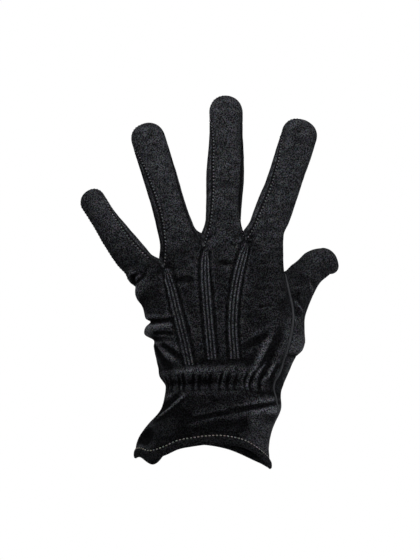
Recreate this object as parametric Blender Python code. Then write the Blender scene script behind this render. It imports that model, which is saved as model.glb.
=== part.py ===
"""A black cotton dress glove for a left hand, in the form that it has when worn.

The frame is in metres. The origin is the middle of the wrist, where the elastic grips. +Z runs up
along the fingers, the back of the glove faces -Y, the palm faces +Y and the thumb is on the +X side.

The glove is sewn from panels. All of them are cut from one skin: a sleeve that runs from the hem to
the knuckles, four finger tubes and a thumb tube. A panel is then a share of that skin's faces, drawn
back a little from its seams and given the thickness of the cloth.
"""

import math
from collections import namedtuple

import bmesh
import bpy
import numpy as np
from mathutils import Vector
from mathutils.bvhtree import BVHTree

# Overall sizes of the worn glove
HAND_LENGTH = 0.0920
KNUCKLE_WIDTH = 0.0954
KNUCKLE_SHIFT = -0.0075
WRIST_WIDTH = 0.0700
WRIST_DEPTH = 0.0400
CUFF_LENGTH = 0.0460
CUFF_WIDTH = 0.0800
THUMB_MOUND = 0.0095

# Fingers and thumb, each from its base to its tip
LITTLE_LENGTH = 0.0580
RING_LENGTH = 0.0780
MIDDLE_LENGTH = 0.0835
INDEX_LENGTH = 0.0745
THUMB_LENGTH = 0.0500
FINGER_WIDTH = 0.0205
FINGER_DEPTH = 0.0185
THUMB_WIDTH = 0.0195

# Cloth, seams and trim
WALL = 0.0010
SEAM_GAP = 0.00036
MITRE_LIMIT = 2.5
FORK_DROP = 0.0070
FORK_DEPTH = 0.0165
HEM_HEIGHT = 0.0045
HEM_THICKNESS = 0.0022
POINT_WIDTH = 0.0060
POINT_HEIGHT = 0.0011
ELASTIC_THICKNESS = 0.0008
PUCKER_DEPTH = 0.0009
SEAT_GAP = 0.00030

# Facets of the skin: half of a finger's side strip has one and its back has six
SIDE_FACETS = 1
BACK_FACETS = 6
FINGER_RING = 2 * BACK_FACETS + 4 * SIDE_FACETS
BACK_COLUMNS = 4 * BACK_FACETS + 2 * SIDE_FACETS
SLEEVE_RING = 2 * BACK_COLUMNS
PUCKERS = BACK_COLUMNS // 2

# How far the hem hangs below the wrist round the sleeve, as shares of the cuff's length. It runs from the
# little finger's seam over the back (0 to 1) and under the palm (1 to 2): low where the cloth folds beside
# the little finger's seam, high over the back, lowest at the thumb's seam and high again under the palm.
HemMark = namedtuple("HemMark", "around drop")
HEM_MARKS = (
    HemMark(0.00, 0.925),
    HemMark(0.08, 0.918),
    HemMark(0.14, 0.916),
    HemMark(0.22, 0.965),
    HemMark(0.31, 0.916),
    HemMark(0.39, 0.832),
    HemMark(0.46, 0.798),
    HemMark(0.69, 0.779),
    HemMark(0.765, 0.826),
    HemMark(0.89, 0.980),
    HemMark(1.00, 1.075),
    HemMark(1.10, 1.043),
    HemMark(1.20, 0.957),
    HemMark(1.40, 0.752),
    HemMark(1.60, 0.705),
    HemMark(1.70, 0.760),
    HemMark(1.80, 0.990),
    HemMark(1.90, 0.900),
    HemMark(2.00, 0.925),
)

# The sleeve's outline is an oval drawn out towards a rectangle. 2 is a plain oval.
SQUARENESS = 2.35
OUTLINE_STEPS = 720

# One row for each level of the sleeve. Level -1 is the hem, 0 the wrist and 1 the knuckles. Width and
# middle are shares of the size named in the row, back and palm are shares of the wrist's depth, and the
# seams turn from the sides towards the back by so many degrees.
Level = namedtuple("Level", "at of width middle back palm seam_little seam_index")
LEVELS = (
    Level(-1.00, CUFF_WIDTH, 1.000, -0.112, 0.66, 0.64, 2, 4),
    Level(-0.72, CUFF_WIDTH, 0.962, -0.108, 0.63, 0.64, 6, 8),
    Level(-0.40, CUFF_WIDTH, 0.890, -0.025, 0.56, 0.61, 16, 16),
    Level(-0.16, WRIST_WIDTH, 0.980, 0.020, 0.50, 0.56, 32, 26),
    Level(0.00, WRIST_WIDTH, 1.000, 0.034, 0.46, 0.53, 40, 32),
    Level(0.14, WRIST_WIDTH, 1.064, 0.032, 0.46, 0.51, 32, 24),
    Level(0.32, WRIST_WIDTH, 1.143, 0.029, 0.45, 0.47, 18, 17),
    Level(0.50, KNUCKLE_WIDTH, 0.886, 0.008, 0.42, 0.41, 6, 8),
    Level(0.75, KNUCKLE_WIDTH, 0.896, -0.029, 0.36, 0.33, 2, 3),
    Level(1.00, KNUCKLE_WIDTH, 1.000, -0.078, 0.30, 0.28, 0, 0),
)
ROW_LEVELS = (
    -0.90, -0.75, -0.60, -0.45, -0.30, -0.19, -0.11, -0.05, 0.00, 0.04, 0.08, 0.13, 0.20,
    0.28, 0.36, 0.44, 0.50, 0.56, 0.62, 0.69, 0.77, 0.88, 1.00,
)

# Between these levels the sleeve's oval turns into the bases of the fingers
KNUCKLE_BLEND = (0.62, 1.0)

# The ends of the knuckle line and the three forks on it, as shares of the knuckle width and of the
# hand's length. Inset moves a fork's seam corners sideways and drop lowers them below its middle.
Fork = namedtuple("Fork", "across up inset drop")
LITTLE_END = Fork(-0.500, 0.685, 0.0, 0.0)
FORKS = (
    Fork(-0.290, 0.825, 0.40, 0.86),
    Fork(-0.026, 0.994, 0.17, 1.28),
    Fork(0.234, 1.004, 0.23, 0.86),
)
INDEX_END = Fork(0.500, 0.959, 0.0, 0.0)

# Lean is to the side, curl towards the palm and turn about the finger's own line, in degrees. Bow is
# how far the middle stands out to the side, as a share of the length, and base, joint and tip are
# shares of the finger's width.
Finger = namedtuple("Finger", "name length lean bow curl turn base joint tip")
FINGERS = (
    Finger("little", LITTLE_LENGTH, 35.0, 0.022, 9, -12, 0.98, 0.88, 0.76),
    Finger("ring", RING_LENGTH, 16.6, -0.004, 6, 10, 1.02, 0.98, 1.00),
    Finger("middle", MIDDLE_LENGTH, -1.6, -0.012, 4, 8, 1.04, 1.10, 0.98),
    Finger("index", INDEX_LENGTH, -19.0, -0.012, 7, 10, 1.12, 1.03, 1.05),
)
FINGER_SHARES = (0.00, 0.055, 0.13, 0.24, 0.37, 0.50, 0.63, 0.75, 0.875)

# A finger's width goes through its own base, joint and tip widths, and its depth is a share of the
# finger depth. At is a share of the length.
Girth = namedtuple("Girth", "at of width depth")
GIRTHS = (
    Girth(0.00, "base", 1.05, 1.16),
    Girth(0.06, "base", 0.94, 1.12),
    Girth(0.15, "base", 0.97, 1.06),
    Girth(0.42, "joint", 1.00, 1.02),
    Girth(0.72, "tip", 1.00, 0.92),
    Girth(1.00, "tip", 1.00, 0.86),
)

# A tip is rounded by rings at these angles. The seams lie nearer to the sides at the tip.
TIP_ANGLES = (30, 56, 77)
TIP_BLUNTNESS = 0.85
TIP_SHARE = 0.125
FOURCHETTE_ROWS = 7
SEAM_ANGLE = 43
SEAM_ANGLE_AT_TIP = 24
SEAM_TURN = (0.25, 0.85)
FORK_BLEND = 0.32
FORK_FALL = 2.5

# The ball of the thumb swells the palm's side: where it lies on the sleeve, how far it reaches and how
# far its swelling turns from +X to the palm, in degrees.
Mound = namedtuple("Mound", "around up reach height turn")
MOUND = Mound(1.12, 0.36, 0.10, 0.26, 15)

# The thumb from the middle of its hole. Out, up and palm are shares of its length, tilt leans its rings
# in degrees, and height and depth are shares of its width. The last row is where its tip rounds off.
ThumbStep = namedtuple("ThumbStep", "at out up palm tilt height depth")
THUMB_STEPS = (
    ThumbStep(0.00, 0.000, 0.000, 0.000, 4, 2.50, 1.40),
    ThumbStep(0.20, 0.170, 0.110, 0.070, 9, 2.20, 1.26),
    ThumbStep(0.38, 0.250, 0.300, 0.130, 11, 1.76, 1.16),
    ThumbStep(0.52, 0.318, 0.425, 0.170, 11, 1.50, 1.08),
    ThumbStep(0.66, 0.384, 0.535, 0.200, 11, 1.31, 1.02),
    ThumbStep(0.80, 0.462, 0.625, 0.225, 12, 1.08, 0.96),
    ThumbStep(1.00, 0.600, 0.705, 0.250, 15, 0.85, 0.82),
)
THUMB_ROWS = 8
THUMB_TIP_SHARE = 0.135
THUMB_BLEND = 0.45
ROOT_ROUNDING = 2

# The thumb's hole in the sleeve, in facets, and how far its palm corners are drawn in
HOLE_COLUMNS = 7
HOLE_ROWS = (12, 20)
CORNER_PULL = 0.34
CORNER_REACH = 0.0095

# Folds of the worn cloth, as soft ridges and valleys. Around is 0 to 1 across the back and 1 to 2 across
# the palm, from the little side; up is a level of the sleeve; slant is the level gained across the back;
# lift is a share of the fold depth.
FOLD_DEPTH = 0.0030
Fold = namedtuple("Fold", "around up reach height slant lift")
FOLDS = (
    Fold(0.03, 0.94, 0.09, 0.045, 1.30, -0.80),
    Fold(0.00, 0.83, 0.14, 0.060, 0.40, 0.45),
    Fold(0.00, 0.590, 0.16, 0.026, 0.30, -1.00),
    Fold(0.00, 0.495, 0.13, 0.048, 0.10, 0.85),
    Fold(0.05, 0.415, 0.13, 0.030, -0.10, -0.50),
    Fold(0.11, 0.330, 0.13, 0.040, -1.05, -0.60),
    Fold(0.50, 0.095, 0.36, 0.045, 0.00, 0.50),
    Fold(0.50, 0.00, 0.42, 0.042, 0.00, -0.70),
    Fold(0.90, 0.20, 0.045, 0.120, 1.60, -0.40),
    Fold(0.84, 0.20, 0.035, 0.110, 1.60, 0.35),
    Fold(0.99, -0.27, 0.16, 0.130, 0.15, 1.00),
    Fold(0.80, -0.60, 0.34, 0.080, 0.35, -0.25),
    Fold(0.09, -0.71, 0.075, 0.130, 0.00, -1.30),
    Fold(0.17, -0.30, 0.10, 0.260, 0.00, -0.55),
    Fold(0.02, -0.30, 0.14, 0.120, -0.40, -0.45),
    Fold(1.50, -0.35, 0.30, 0.150, 0.00, 0.50),
    Fold(1.45, -0.80, 0.10, 0.200, 0.00, -0.60),
)

# The gathers of the wrist: how high they are centred, how far they reach up and down, and how far in
# from the side seams they start.
PUCKER_LEVEL = 0.03
PUCKER_REACH = 0.085
PUCKER_START = 0.12
ELASTIC_START = 2

# The three points on the back. Top, middle and bottom are shares across the back, and start and end are
# levels of the sleeve.
Point = namedtuple("Point", "name top middle bottom start end")
POINTS = (
    Point("little_ring", 0.288, 0.285, 0.422, 0.96, 0.15),
    Point("ring_middle", 0.502, 0.456, 0.545, 0.95, 0.17),
    Point("middle_index", 0.708, 0.614, 0.682, 0.95, 0.17),
)
# The outline across a point, as shares of half its width and of its height: three rounded tucks.
POINT_OUTLINE = (
    (-1.00, 0.00), (-0.84, 0.85), (-0.56, 0.85), (-0.36, 0.25), (-0.18, 0.95),
    (0.18, 0.95), (0.36, 0.25), (0.56, 0.85), (0.84, 0.85), (1.00, 0.00),
)
POINT_BASE = 0.0002
POINT_START_WIDTH = 0.55
POINT_START_REACH = 0.15
START_LIFT = 0.0002
ROW_CLEARANCE = 0.02

# The outline of the hem's fold, as shares of its thickness inwards and of its height downwards
HEM_OUTLINE = ((0, 0.0), (0, 0.8), (0.25, 1.0), (0.75, 1.0), (1, 0.8), (1, 0.0))
SHARP_EDGE = 50

BLACK_COTTON = (0.030, 0.031, 0.035)
BLACK_TUCK = (0.050, 0.052, 0.056)
BLACK_ELASTIC = (0.020, 0.020, 0.022)


def ease(low, high, value):
    """0 below low, 1 above high and a smooth step between."""
    share = np.clip((np.asarray(value, float) - low) / (high - low), 0.0, 1.0)
    return share * share * (3.0 - 2.0 * share)


def smooth_column(places, values, at):
    """A smooth curve through a table's column, read at one place."""
    places = np.asarray(places, float)
    values = np.asarray(values, float)
    slopes = np.gradient(values, places)
    k = int(np.clip(np.searchsorted(places, at) - 1, 0, len(places) - 2))
    span = places[k + 1] - places[k]
    s = float(np.clip((at - places[k]) / span, 0.0, 1.0))
    start = (1 + 2 * s) * (1 - s) ** 2 * values[k] + s * (1 - s) ** 2 * span * slopes[k]
    return start + s * s * (3 - 2 * s) * values[k + 1] + s * s * (s - 1) * span * slopes[k + 1]


def ring_angles(seam):
    """The angles of a finger's ring from its little side over the back. Seam is measured from the sides."""
    quarter = np.concatenate([
        np.linspace(180, 180 - seam, SIDE_FACETS + 1)[:-1],
        np.linspace(180 - seam, seam, BACK_FACETS + 1)[:-1],
        np.linspace(seam, 0, SIDE_FACETS + 1)[:-1],
    ])
    return np.radians(np.concatenate([quarter, quarter - 180]))


def finger_axes(finger):
    """The way along a finger and the way across it, in the plane of the hand."""
    lean = math.radians(finger.lean)
    return np.array([-math.sin(lean), 0.0, math.cos(lean)]), np.array([math.cos(lean), 0.0, math.sin(lean)])


def knuckle(fork):
    """A knuckle mark's place in the plane of the hand."""
    return np.array([KNUCKLE_SHIFT + fork.across * KNUCKLE_WIDTH, 0.0, fork.up * HAND_LENGTH])


def fork_line(fork):
    """The lowest line of the cloth between two fingers, from its back corner to its palm corner."""
    points = []
    for step in np.linspace(-1, 1, 2 * SIDE_FACETS + 1):
        middle = knuckle(fork)
        side = fork.inset * FORK_DROP * step * step
        points.append(middle + [side, step * FORK_DEPTH / 2, -fork.drop * FORK_DROP * step * step])
    return np.array(points)


def finger_ring(finger, start, share, scale, seam):
    """One ring of a finger at a share of its length."""
    axis, side = finger_axes(finger)
    curl = math.radians(finger.curl) * share
    bow = 4 * share * (1 - share) * finger.bow * finger.length
    centre = start + axis * share * finger.length - side * bow
    centre[1] += math.sin(curl) * share * finger.length / 2
    places = [girth.at for girth in GIRTHS]
    widths = [girth.width * getattr(finger, girth.of) for girth in GIRTHS]
    half_width = smooth_column(places, widths, share) * FINGER_WIDTH / 2 * scale
    half_depth = smooth_column(places, [girth.depth for girth in GIRTHS], share) * FINGER_DEPTH / 2 * scale
    half_depth *= (1 + finger.joint) / 2
    angles = ring_angles(seam) - math.radians(finger.turn)
    back = np.array([0.0, -math.cos(curl), 0.0]) + axis * math.sin(curl)
    across = np.outer(np.cos(angles) * half_width, side)
    return centre + across + np.outer(np.sin(angles) * half_depth, back)


def finger_stations():
    """Each ring's share of the length, its scale and its seam angle. The last rings round off the tip."""
    stations = [(share, 1.0) for share in FINGER_SHARES]
    for angle in TIP_ANGLES:
        turn = math.radians(angle)
        stations.append((1 - TIP_SHARE + TIP_SHARE * math.sin(turn), math.cos(turn) ** TIP_BLUNTNESS))
    turned = [float(ease(*SEAM_TURN, share)) for share, _ in stations]
    seams = [SEAM_ANGLE + (SEAM_ANGLE_AT_TIP - SEAM_ANGLE) * done for done in turned]
    return [(*station, seam) for station, seam in zip(stations, seams)]


def fork_pull(index, base):
    """How far each point of a finger's base ring has to move to meet the forks on both of its sides."""
    pull = np.zeros_like(base)
    corner = SIDE_FACETS
    far_corner = corner + BACK_FACETS
    palm_start = far_corner + 2 * SIDE_FACETS
    palm_end = (palm_start + BACK_FACETS) % FINGER_RING
    if index < len(FORKS):
        for step, point in enumerate(fork_line(FORKS[index])):
            pull[far_corner + step] = point - base[far_corner + step]
    if index > 0:
        for step, point in enumerate(fork_line(FORKS[index - 1])):
            place = (corner - step) % FINGER_RING
            pull[place] = point - base[place]
    for step in range(1, BACK_FACETS):
        share = float(ease(0, 1, step / BACK_FACETS))
        pull[corner + step] = (1 - share) * pull[corner] + share * pull[far_corner]
        pull[palm_start + step] = (1 - share) * pull[palm_start] + share * pull[palm_end]
    return pull


def finger_rings(index):
    """All the rings of a finger, bent to meet its forks, and its tip."""
    finger = FINGERS[index]
    marks = (LITTLE_END, *FORKS, INDEX_END)
    start = (knuckle(marks[index]) + knuckle(marks[index + 1])) / 2
    stations = finger_stations()
    rings = [finger_ring(finger, start, *station) for station in stations]
    pull = fork_pull(index, rings[0])
    for ring, (share, _, _) in zip(rings, stations):
        ring += pull * max(0.0, 1 - share / FORK_BLEND) ** FORK_FALL
    axis, _ = finger_axes(finger)
    tip = rings[-1].mean(axis=0) + axis * finger.length * (1 - stations[-1][0])
    return rings, tip


def rounded(share, flatness):
    """A sine or cosine drawn out so that its curve gets squarer corners."""
    return np.sign(share) * np.abs(share) ** flatness


def section(level):
    """An even ring of points round the sleeve at a level, in its own plane."""
    places = [row.at for row in LEVELS]

    def column(values):
        return smooth_column(places, values, level)

    half_width = column([row.width * row.of for row in LEVELS]) / 2
    middle = column([row.middle * row.of for row in LEVELS])
    back = column([row.back for row in LEVELS]) * WRIST_DEPTH
    palm = column([row.palm for row in LEVELS]) * WRIST_DEPTH
    first = 180 + column([row.seam_little for row in LEVELS])
    degrees = np.linspace(first, first - 360, OUTLINE_STEPS + 1)
    angles = np.radians(degrees)
    x = middle + half_width * rounded(np.cos(angles), 2 / SQUARENESS)
    y = -np.where(np.sin(angles) > 0, back, palm) * rounded(np.sin(angles), 2 / SQUARENESS)
    runs = np.concatenate([[0], np.cumsum(np.hypot(np.diff(x), np.diff(y)))])
    index_seam = np.interp(column([row.seam_index for row in LEVELS]), degrees[::-1], runs[::-1])
    along = np.concatenate([
        np.linspace(0, index_seam, BACK_COLUMNS + 1)[:-1],
        np.linspace(index_seam, runs[-1], BACK_COLUMNS + 1)[:-1],
    ])
    return np.stack([np.interp(along, runs, x), np.interp(along, runs, y)], axis=1)


def hem_drop(around):
    """How far the hem hangs below the wrist round the sleeve."""
    marks = [mark.around for mark in HEM_MARKS]
    drops = [mark.drop for mark in HEM_MARKS]
    return CUFF_LENGTH * np.array([smooth_column(marks, drops, place) for place in around])


def sleeve_row(level, knuckle_ring):
    """One ring of the sleeve. It is level at the wrist and slants towards the hem and the knuckles."""
    around = np.arange(SLEEVE_RING) / BACK_COLUMNS
    rise = level * (knuckle_ring[:, 2] if level > 0 else hem_drop(around))
    ring = np.column_stack([section(level), rise])
    beside = (around - MOUND.around) / MOUND.reach
    above = (level - MOUND.up) / MOUND.height
    turn = math.radians(MOUND.turn)
    swell = THUMB_MOUND * np.exp(-(beside**2) - above**2)
    ring += np.outer(swell, [math.cos(turn), math.sin(turn), 0.0])
    if level > 0:
        top = np.column_stack([section(1.0), knuckle_ring[:, 2]])
        ring += (knuckle_ring - top) * float(ease(*KNUCKLE_BLEND, level))
    return ring


def fold_lift(level, around):
    """The folds and the gathered puckers at a place on the sleeve, outwards."""
    lift = 0.0
    for fold in FOLDS:
        side = (around - fold.around + 1.0) % 2.0 - 1.0
        rise = level - fold.up - fold.slant * side
        lift += fold.lift * FOLD_DEPTH * math.exp(-((side / fold.reach) ** 2) - (rise / fold.height) ** 2)
    if 0.0 < around < 1.0:
        spread = float(ease(0.0, PUCKER_START, around) * ease(0.0, PUCKER_START, 1.0 - around))
        near = math.exp(-(((level - PUCKER_LEVEL) / PUCKER_REACH) ** 2))
        lift += PUCKER_DEPTH * spread * near * math.cos(2 * math.pi * PUCKERS * around)
    return lift


class Skin:
    """The whole glove as one sheet of faces, each with the name of its panel."""

    def __init__(self):
        self.points = []
        self.faces = []
        self.panels = []

    def add_ring(self, ring):
        first = len(self.points)
        self.points.extend(ring)
        return list(range(first, len(self.points)))

    def add_face(self, corners, panel):
        self.faces.append(tuple(corners))
        self.panels.append(panel)

    def normals(self):
        points = np.array(self.points)
        total = np.zeros_like(points)
        for face in self.faces:
            corners = points[list(face)]
            total[list(face)] += np.cross(corners[2] - corners[0], corners[-1] - corners[1])
        lengths = np.linalg.norm(total, axis=1)
        lengths[lengths == 0] = 1.0
        return total / lengths[:, None]


def sleeve_panel(column):
    return "back_panel" if column < BACK_COLUMNS else "palm_panel"


def between(rings, row, column):
    """The four corners of the facet that lies above a row and beside a column, all of them numbers."""
    beside = (column + 1) % len(rings[row])
    return rings[row][column], rings[row][beside], rings[row + 1][beside], rings[row + 1][column]


def in_thumb_hole(row, column):
    return HOLE_ROWS[0] <= row < HOLE_ROWS[1] and BACK_COLUMNS <= column < BACK_COLUMNS + HOLE_COLUMNS


def add_sleeve(skin, knuckle_ring):
    """The sleeve's rows, from the stitching of the hem to the knuckles. The thumb's hole stays open."""
    rows = [skin.add_ring(sleeve_row(level, knuckle_ring)) for level in ROW_LEVELS]
    for row in range(len(rows) - 1):
        for column in range(SLEEVE_RING):
            if not in_thumb_hole(row, column):
                skin.add_face(between(rows, row, column), sleeve_panel(column))
    return rows


def knuckle_ring_of(fingers):
    """The sleeve's last ring: the backs of the fingers' base rings from little to index, then the palms."""
    ring = np.zeros((SLEEVE_RING, 3))
    palm_corner = BACK_FACETS + 3 * SIDE_FACETS
    for index, (rings, _) in enumerate(fingers):
        for step in range(BACK_FACETS + 1):
            ring[SIDE_FACETS + BACK_FACETS * index + step] = rings[0][SIDE_FACETS + step]
            palm = BACK_COLUMNS + SIDE_FACETS + BACK_FACETS * (len(fingers) - 1 - index) + step
            ring[palm] = rings[0][(palm_corner + step) % FINGER_RING]
    for step in range(2 * SIDE_FACETS + 1):
        ring[BACK_COLUMNS - SIDE_FACETS + step] = fingers[-1][0][0][BACK_FACETS + SIDE_FACETS + step]
        ring[(step - SIDE_FACETS) % SLEEVE_RING] = fingers[0][0][0][(step - SIDE_FACETS) % FINGER_RING]
    return ring


def base_corners(index, knuckles, forks):
    """The skin's point numbers round a finger's base ring, shared with the sleeve and the next finger."""
    ring = [None] * FINGER_RING
    palm_corner = BACK_FACETS + 3 * SIDE_FACETS
    for step in range(BACK_FACETS + 1):
        ring[SIDE_FACETS + step] = knuckles[SIDE_FACETS + BACK_FACETS * index + step]
        palm = BACK_COLUMNS + SIDE_FACETS + BACK_FACETS * (len(FINGERS) - 1 - index) + step
        ring[(palm_corner + step) % FINGER_RING] = knuckles[palm]
    for step in range(1, 2 * SIDE_FACETS):
        outer_side = knuckles[BACK_COLUMNS - SIDE_FACETS + step]
        inner_side = knuckles[(SIDE_FACETS - step) % SLEEVE_RING]
        far = outer_side if index == len(FORKS) else forks[index][step - 1]
        near = inner_side if index == 0 else forks[index - 1][step - 1]
        ring[BACK_FACETS + SIDE_FACETS + step] = far
        ring[(SIDE_FACETS - step) % FINGER_RING] = near
    return ring


def finger_panel(index, row, column):
    """The panel of a finger's facet: a fourchette lines the sides that face another finger."""
    far_side = BACK_FACETS + SIDE_FACETS <= column < BACK_FACETS + 3 * SIDE_FACETS
    near_side = column < SIDE_FACETS or column >= FINGER_RING - SIDE_FACETS
    if row < FOURCHETTE_ROWS and far_side and index < len(FORKS):
        return f"fourchette_{FINGERS[index].name}_{FINGERS[index + 1].name}"
    if row < FOURCHETTE_ROWS and near_side and index > 0:
        return f"fourchette_{FINGERS[index - 1].name}_{FINGERS[index].name}"
    return "back_panel" if column < FINGER_RING // 2 else "palm_panel"


def add_tube(skin, rings, tip, panel_of):
    """Faces between rings of point numbers, closed by a fan at the tip."""
    count = len(rings[0])
    for row in range(len(rings) - 1):
        for column in range(count):
            skin.add_face(between(rings, row, column), panel_of(row, column))
    for column in range(count):
        beside = (column + 1) % count
        skin.add_face((rings[-1][column], rings[-1][beside], tip), panel_of(len(rings), column))


def add_fingers(skin, fingers, knuckles):
    """The four finger tubes on the sleeve's last ring."""
    forks = [skin.add_ring(fork_line(fork)[1:-1]) for fork in FORKS]
    for index, (rings, tip) in enumerate(fingers):
        numbers = [base_corners(index, knuckles, forks)]
        numbers += [skin.add_ring(ring) for ring in rings[1:]]
        (tip_number,) = skin.add_ring([tip])

        def panel_of(row, column, index=index):
            return finger_panel(index, row, column)

        add_tube(skin, numbers, tip_number, panel_of)


def round_hole(skin, rows):
    """Draws the skin in at the two corners of the thumb's hole that lie in the palm."""
    low, high = HOLE_ROWS
    first, last = BACK_COLUMNS, BACK_COLUMNS + HOLE_COLUMNS
    centre = (skin.points[rows[low][first]] + skin.points[rows[high][last]]) / 2
    corners = [skin.points[rows[row][last]].copy() for row in (low, high)]
    for row in rows:
        for number in row[first:]:
            point = skin.points[number]
            near = sum(math.exp(-(np.linalg.norm(point - corner) / CORNER_REACH) ** 2) for corner in corners)
            skin.points[number] = point + (centre - point) * CORNER_PULL * min(1.0, near)


def hole_loop(rows):
    """The point numbers round the thumb's hole, clockwise from the outside."""
    low, high = HOLE_ROWS
    first, last = BACK_COLUMNS, BACK_COLUMNS + HOLE_COLUMNS
    top = [rows[high][column] for column in range(first, last)]
    inner = [rows[row][last] for row in range(high, low, -1)]
    bottom = [rows[low][column] for column in range(last, first, -1)]
    outer = [rows[row][first] for row in range(low, high)]
    return (top + inner + bottom + outer)[::-1]


def thumb_station(share, reach):
    """The middle of the thumb's ring at a share of its course, with its tall and its flat half axes."""
    places = [step.at for step in THUMB_STEPS]

    def column(name):
        return smooth_column(places, [getattr(step, name) for step in THUMB_STEPS], share)

    tilt = math.radians(column("tilt"))
    middle = np.array([column("out") + reach, column("palm"), column("up")]) * THUMB_LENGTH
    tall = np.array([-math.sin(tilt), 0.0, math.cos(tilt)]) * column("height") * THUMB_WIDTH / 2
    flat = np.array([0.0, 1.0, 0.0]) * column("depth") * THUMB_WIDTH / 2
    return middle, tall, flat


def thumb_stations():
    """Each ring's share of the course, its reach past the course's end and its scale."""
    stations = [(share, 0.0, 1.0) for share in np.linspace(0, 1, THUMB_ROWS + 1)[1:]]
    for angle in TIP_ANGLES:
        turn = math.radians(angle)
        stations.append((1.0, THUMB_TIP_SHARE * math.sin(turn), math.cos(turn) ** TIP_BLUNTNESS))
    return stations


def root_angles(spokes):
    """The angles of the hole's points seen along the thumb, and even angles that fit them best."""
    _, tall, flat = thumb_station(0, 0)
    angles = np.unwrap(np.arctan2(spokes @ flat / (flat @ flat), spokes @ tall / (tall @ tall)))
    step = math.copysign(2 * math.pi / len(spokes), angles[-1] - angles[0])
    return angles, angles.mean() + (np.arange(len(spokes)) - (len(spokes) - 1) / 2) * step


def add_thumb(skin, rows):
    """The thumb's tube, which grows out of its hole and bends outwards."""
    loop = hole_loop(rows)
    base = np.array([skin.points[number] for number in loop])
    start = base.mean(axis=0)
    angles, even = root_angles(base - start)
    rings = [loop]
    for share, reach, scale in thumb_stations():
        middle, tall, flat = thumb_station(share, reach)
        hold = 1 - float(ease(0, THUMB_BLEND, share))
        turns = angles * hold + even * (1 - hold)
        ring = start + middle + scale * (np.outer(np.cos(turns), tall) + np.outer(np.sin(turns), flat))
        rings.append(skin.add_ring(ring * (1 - hold) + (base + middle) * hold))
    tip, _, _ = thumb_station(1, THUMB_TIP_SHARE)
    (tip_number,) = skin.add_ring([start + tip])
    add_tube(skin, rings, tip_number, lambda row, column: "thumb")
    return rings


def even_out(skin, numbers, rounds):
    """Draws points towards the middle of their neighbours, which rounds the thumb's root."""
    neighbours = {number: set() for number in numbers}
    for face in skin.faces:
        for here, there in zip(face, face[1:] + face[:1]):
            if here in neighbours:
                neighbours[here].add(there)
            if there in neighbours:
                neighbours[there].add(here)
    for _ in range(rounds):
        moved = {n: np.mean([skin.points[m] for m in near], axis=0) for n, near in neighbours.items()}
        for number, place in moved.items():
            skin.points[number] = (skin.points[number] + place) / 2


def build_skin(knuckle_ring, fingers):
    """The smooth skin and the sleeve's rows of point numbers."""
    skin = Skin()
    rows = add_sleeve(skin, knuckle_ring)
    add_fingers(skin, fingers, rows[-1])
    round_hole(skin, rows)
    rings = add_thumb(skin, rows)
    even_out(skin, rings[0] + rings[1] + rings[2], ROOT_ROUNDING)
    return skin, rows


def fold_skin(skin, rows, normals):
    """Lifts and sinks the sleeve's points along their normals to make the folds."""
    for row, level in zip(rows, ROW_LEVELS):
        for column, number in enumerate(row):
            lift = fold_lift(level, column / BACK_COLUMNS)
            skin.points[number] = skin.points[number] + normals[number] * lift


def material(name, colour, roughness):
    made = bpy.data.materials.new(name)
    made.use_nodes = True
    shader = made.node_tree.nodes["Principled BSDF"]
    shader.inputs["Base Color"].default_value = (*colour, 1.0)
    shader.inputs["Roughness"].default_value = roughness
    shader.inputs["Metallic"].default_value = 0.0
    return made


def add_object(name, points, faces, finish):
    """A closed mesh object with its faces turned outwards."""
    shape = bmesh.new()
    corners = [shape.verts.new(Vector(point)) for point in points]
    for face in faces:
        shape.faces.new([corners[number] for number in face])
    bmesh.ops.recalc_face_normals(shape, faces=shape.faces)
    mesh = bpy.data.meshes.new(name)
    shape.to_mesh(mesh)
    shape.free()
    mesh.shade_smooth()
    mesh.set_sharp_from_angle(angle=math.radians(SHARP_EDGE))
    mesh.materials.append(finish)
    made = bpy.data.objects.new(name, mesh)
    bpy.context.scene.collection.objects.link(made)
    return made


def rim_edges(faces):
    """The edges that only one of the faces has, each in the direction of that face."""
    edges = {edge for face in faces for edge in zip(face, face[1:] + face[:1])}
    return [(here, there) for here, there in sorted(edges) if (there, here) not in edges]


def draw_back(points, normals, rim):
    """How far each point of a rim moves into its panel, mitred so that the seam keeps its width."""
    ways = {}
    for here, there in rim:
        for number in (here, there):
            inwards = np.cross(normals[number], points[there] - points[here])
            ways[number] = ways.get(number, 0) + inwards / np.linalg.norm(inwards)
    moves = {}
    for number, way in ways.items():
        length = np.linalg.norm(way)
        moves[number] = way / length * min(2 / length, MITRE_LIMIT) * SEAM_GAP / 2
    return moves


def add_panel(name, skin, normals, finish):
    """A panel of the skin, drawn back from its seams and thickened inwards."""
    faces = [face for face, panel in zip(skin.faces, skin.panels) if panel == name]
    points = np.array(skin.points)
    rim = rim_edges(faces)
    moves = draw_back(points, normals, rim)
    used = sorted({number for face in faces for number in face})
    outer = [points[number] + moves.get(number, 0) for number in used]
    inner = [place - normals[number] * WALL for place, number in zip(outer, used)]
    place = {number: k for k, number in enumerate(used)}
    count = len(used)
    shell = [tuple(place[number] for number in face) for face in faces]
    shell += [tuple(place[number] + count for number in reversed(face)) for face in faces]
    shell += [(place[b], place[a], place[a] + count, place[b] + count) for a, b in rim]
    return add_object(name, outer + inner, shell, finish)


def sweep(outlines, closed):
    """Points and faces of a solid swept through matching outlines, as a ring or with flat ends."""
    count = len(outlines[0])
    points = [point for outline in outlines for point in outline]
    faces = []
    for row in range(len(outlines) if closed else len(outlines) - 1):
        here, above = row * count, (row + 1) % len(outlines) * count
        for step in range(count):
            beside = (step + 1) % count
            faces.append((here + step, here + beside, above + beside, above + step))
    if not closed:
        last = len(points) - count
        faces.append(tuple(range(count))[::-1])
        faces.append(tuple(range(last, last + count)))
    return points, faces


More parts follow.
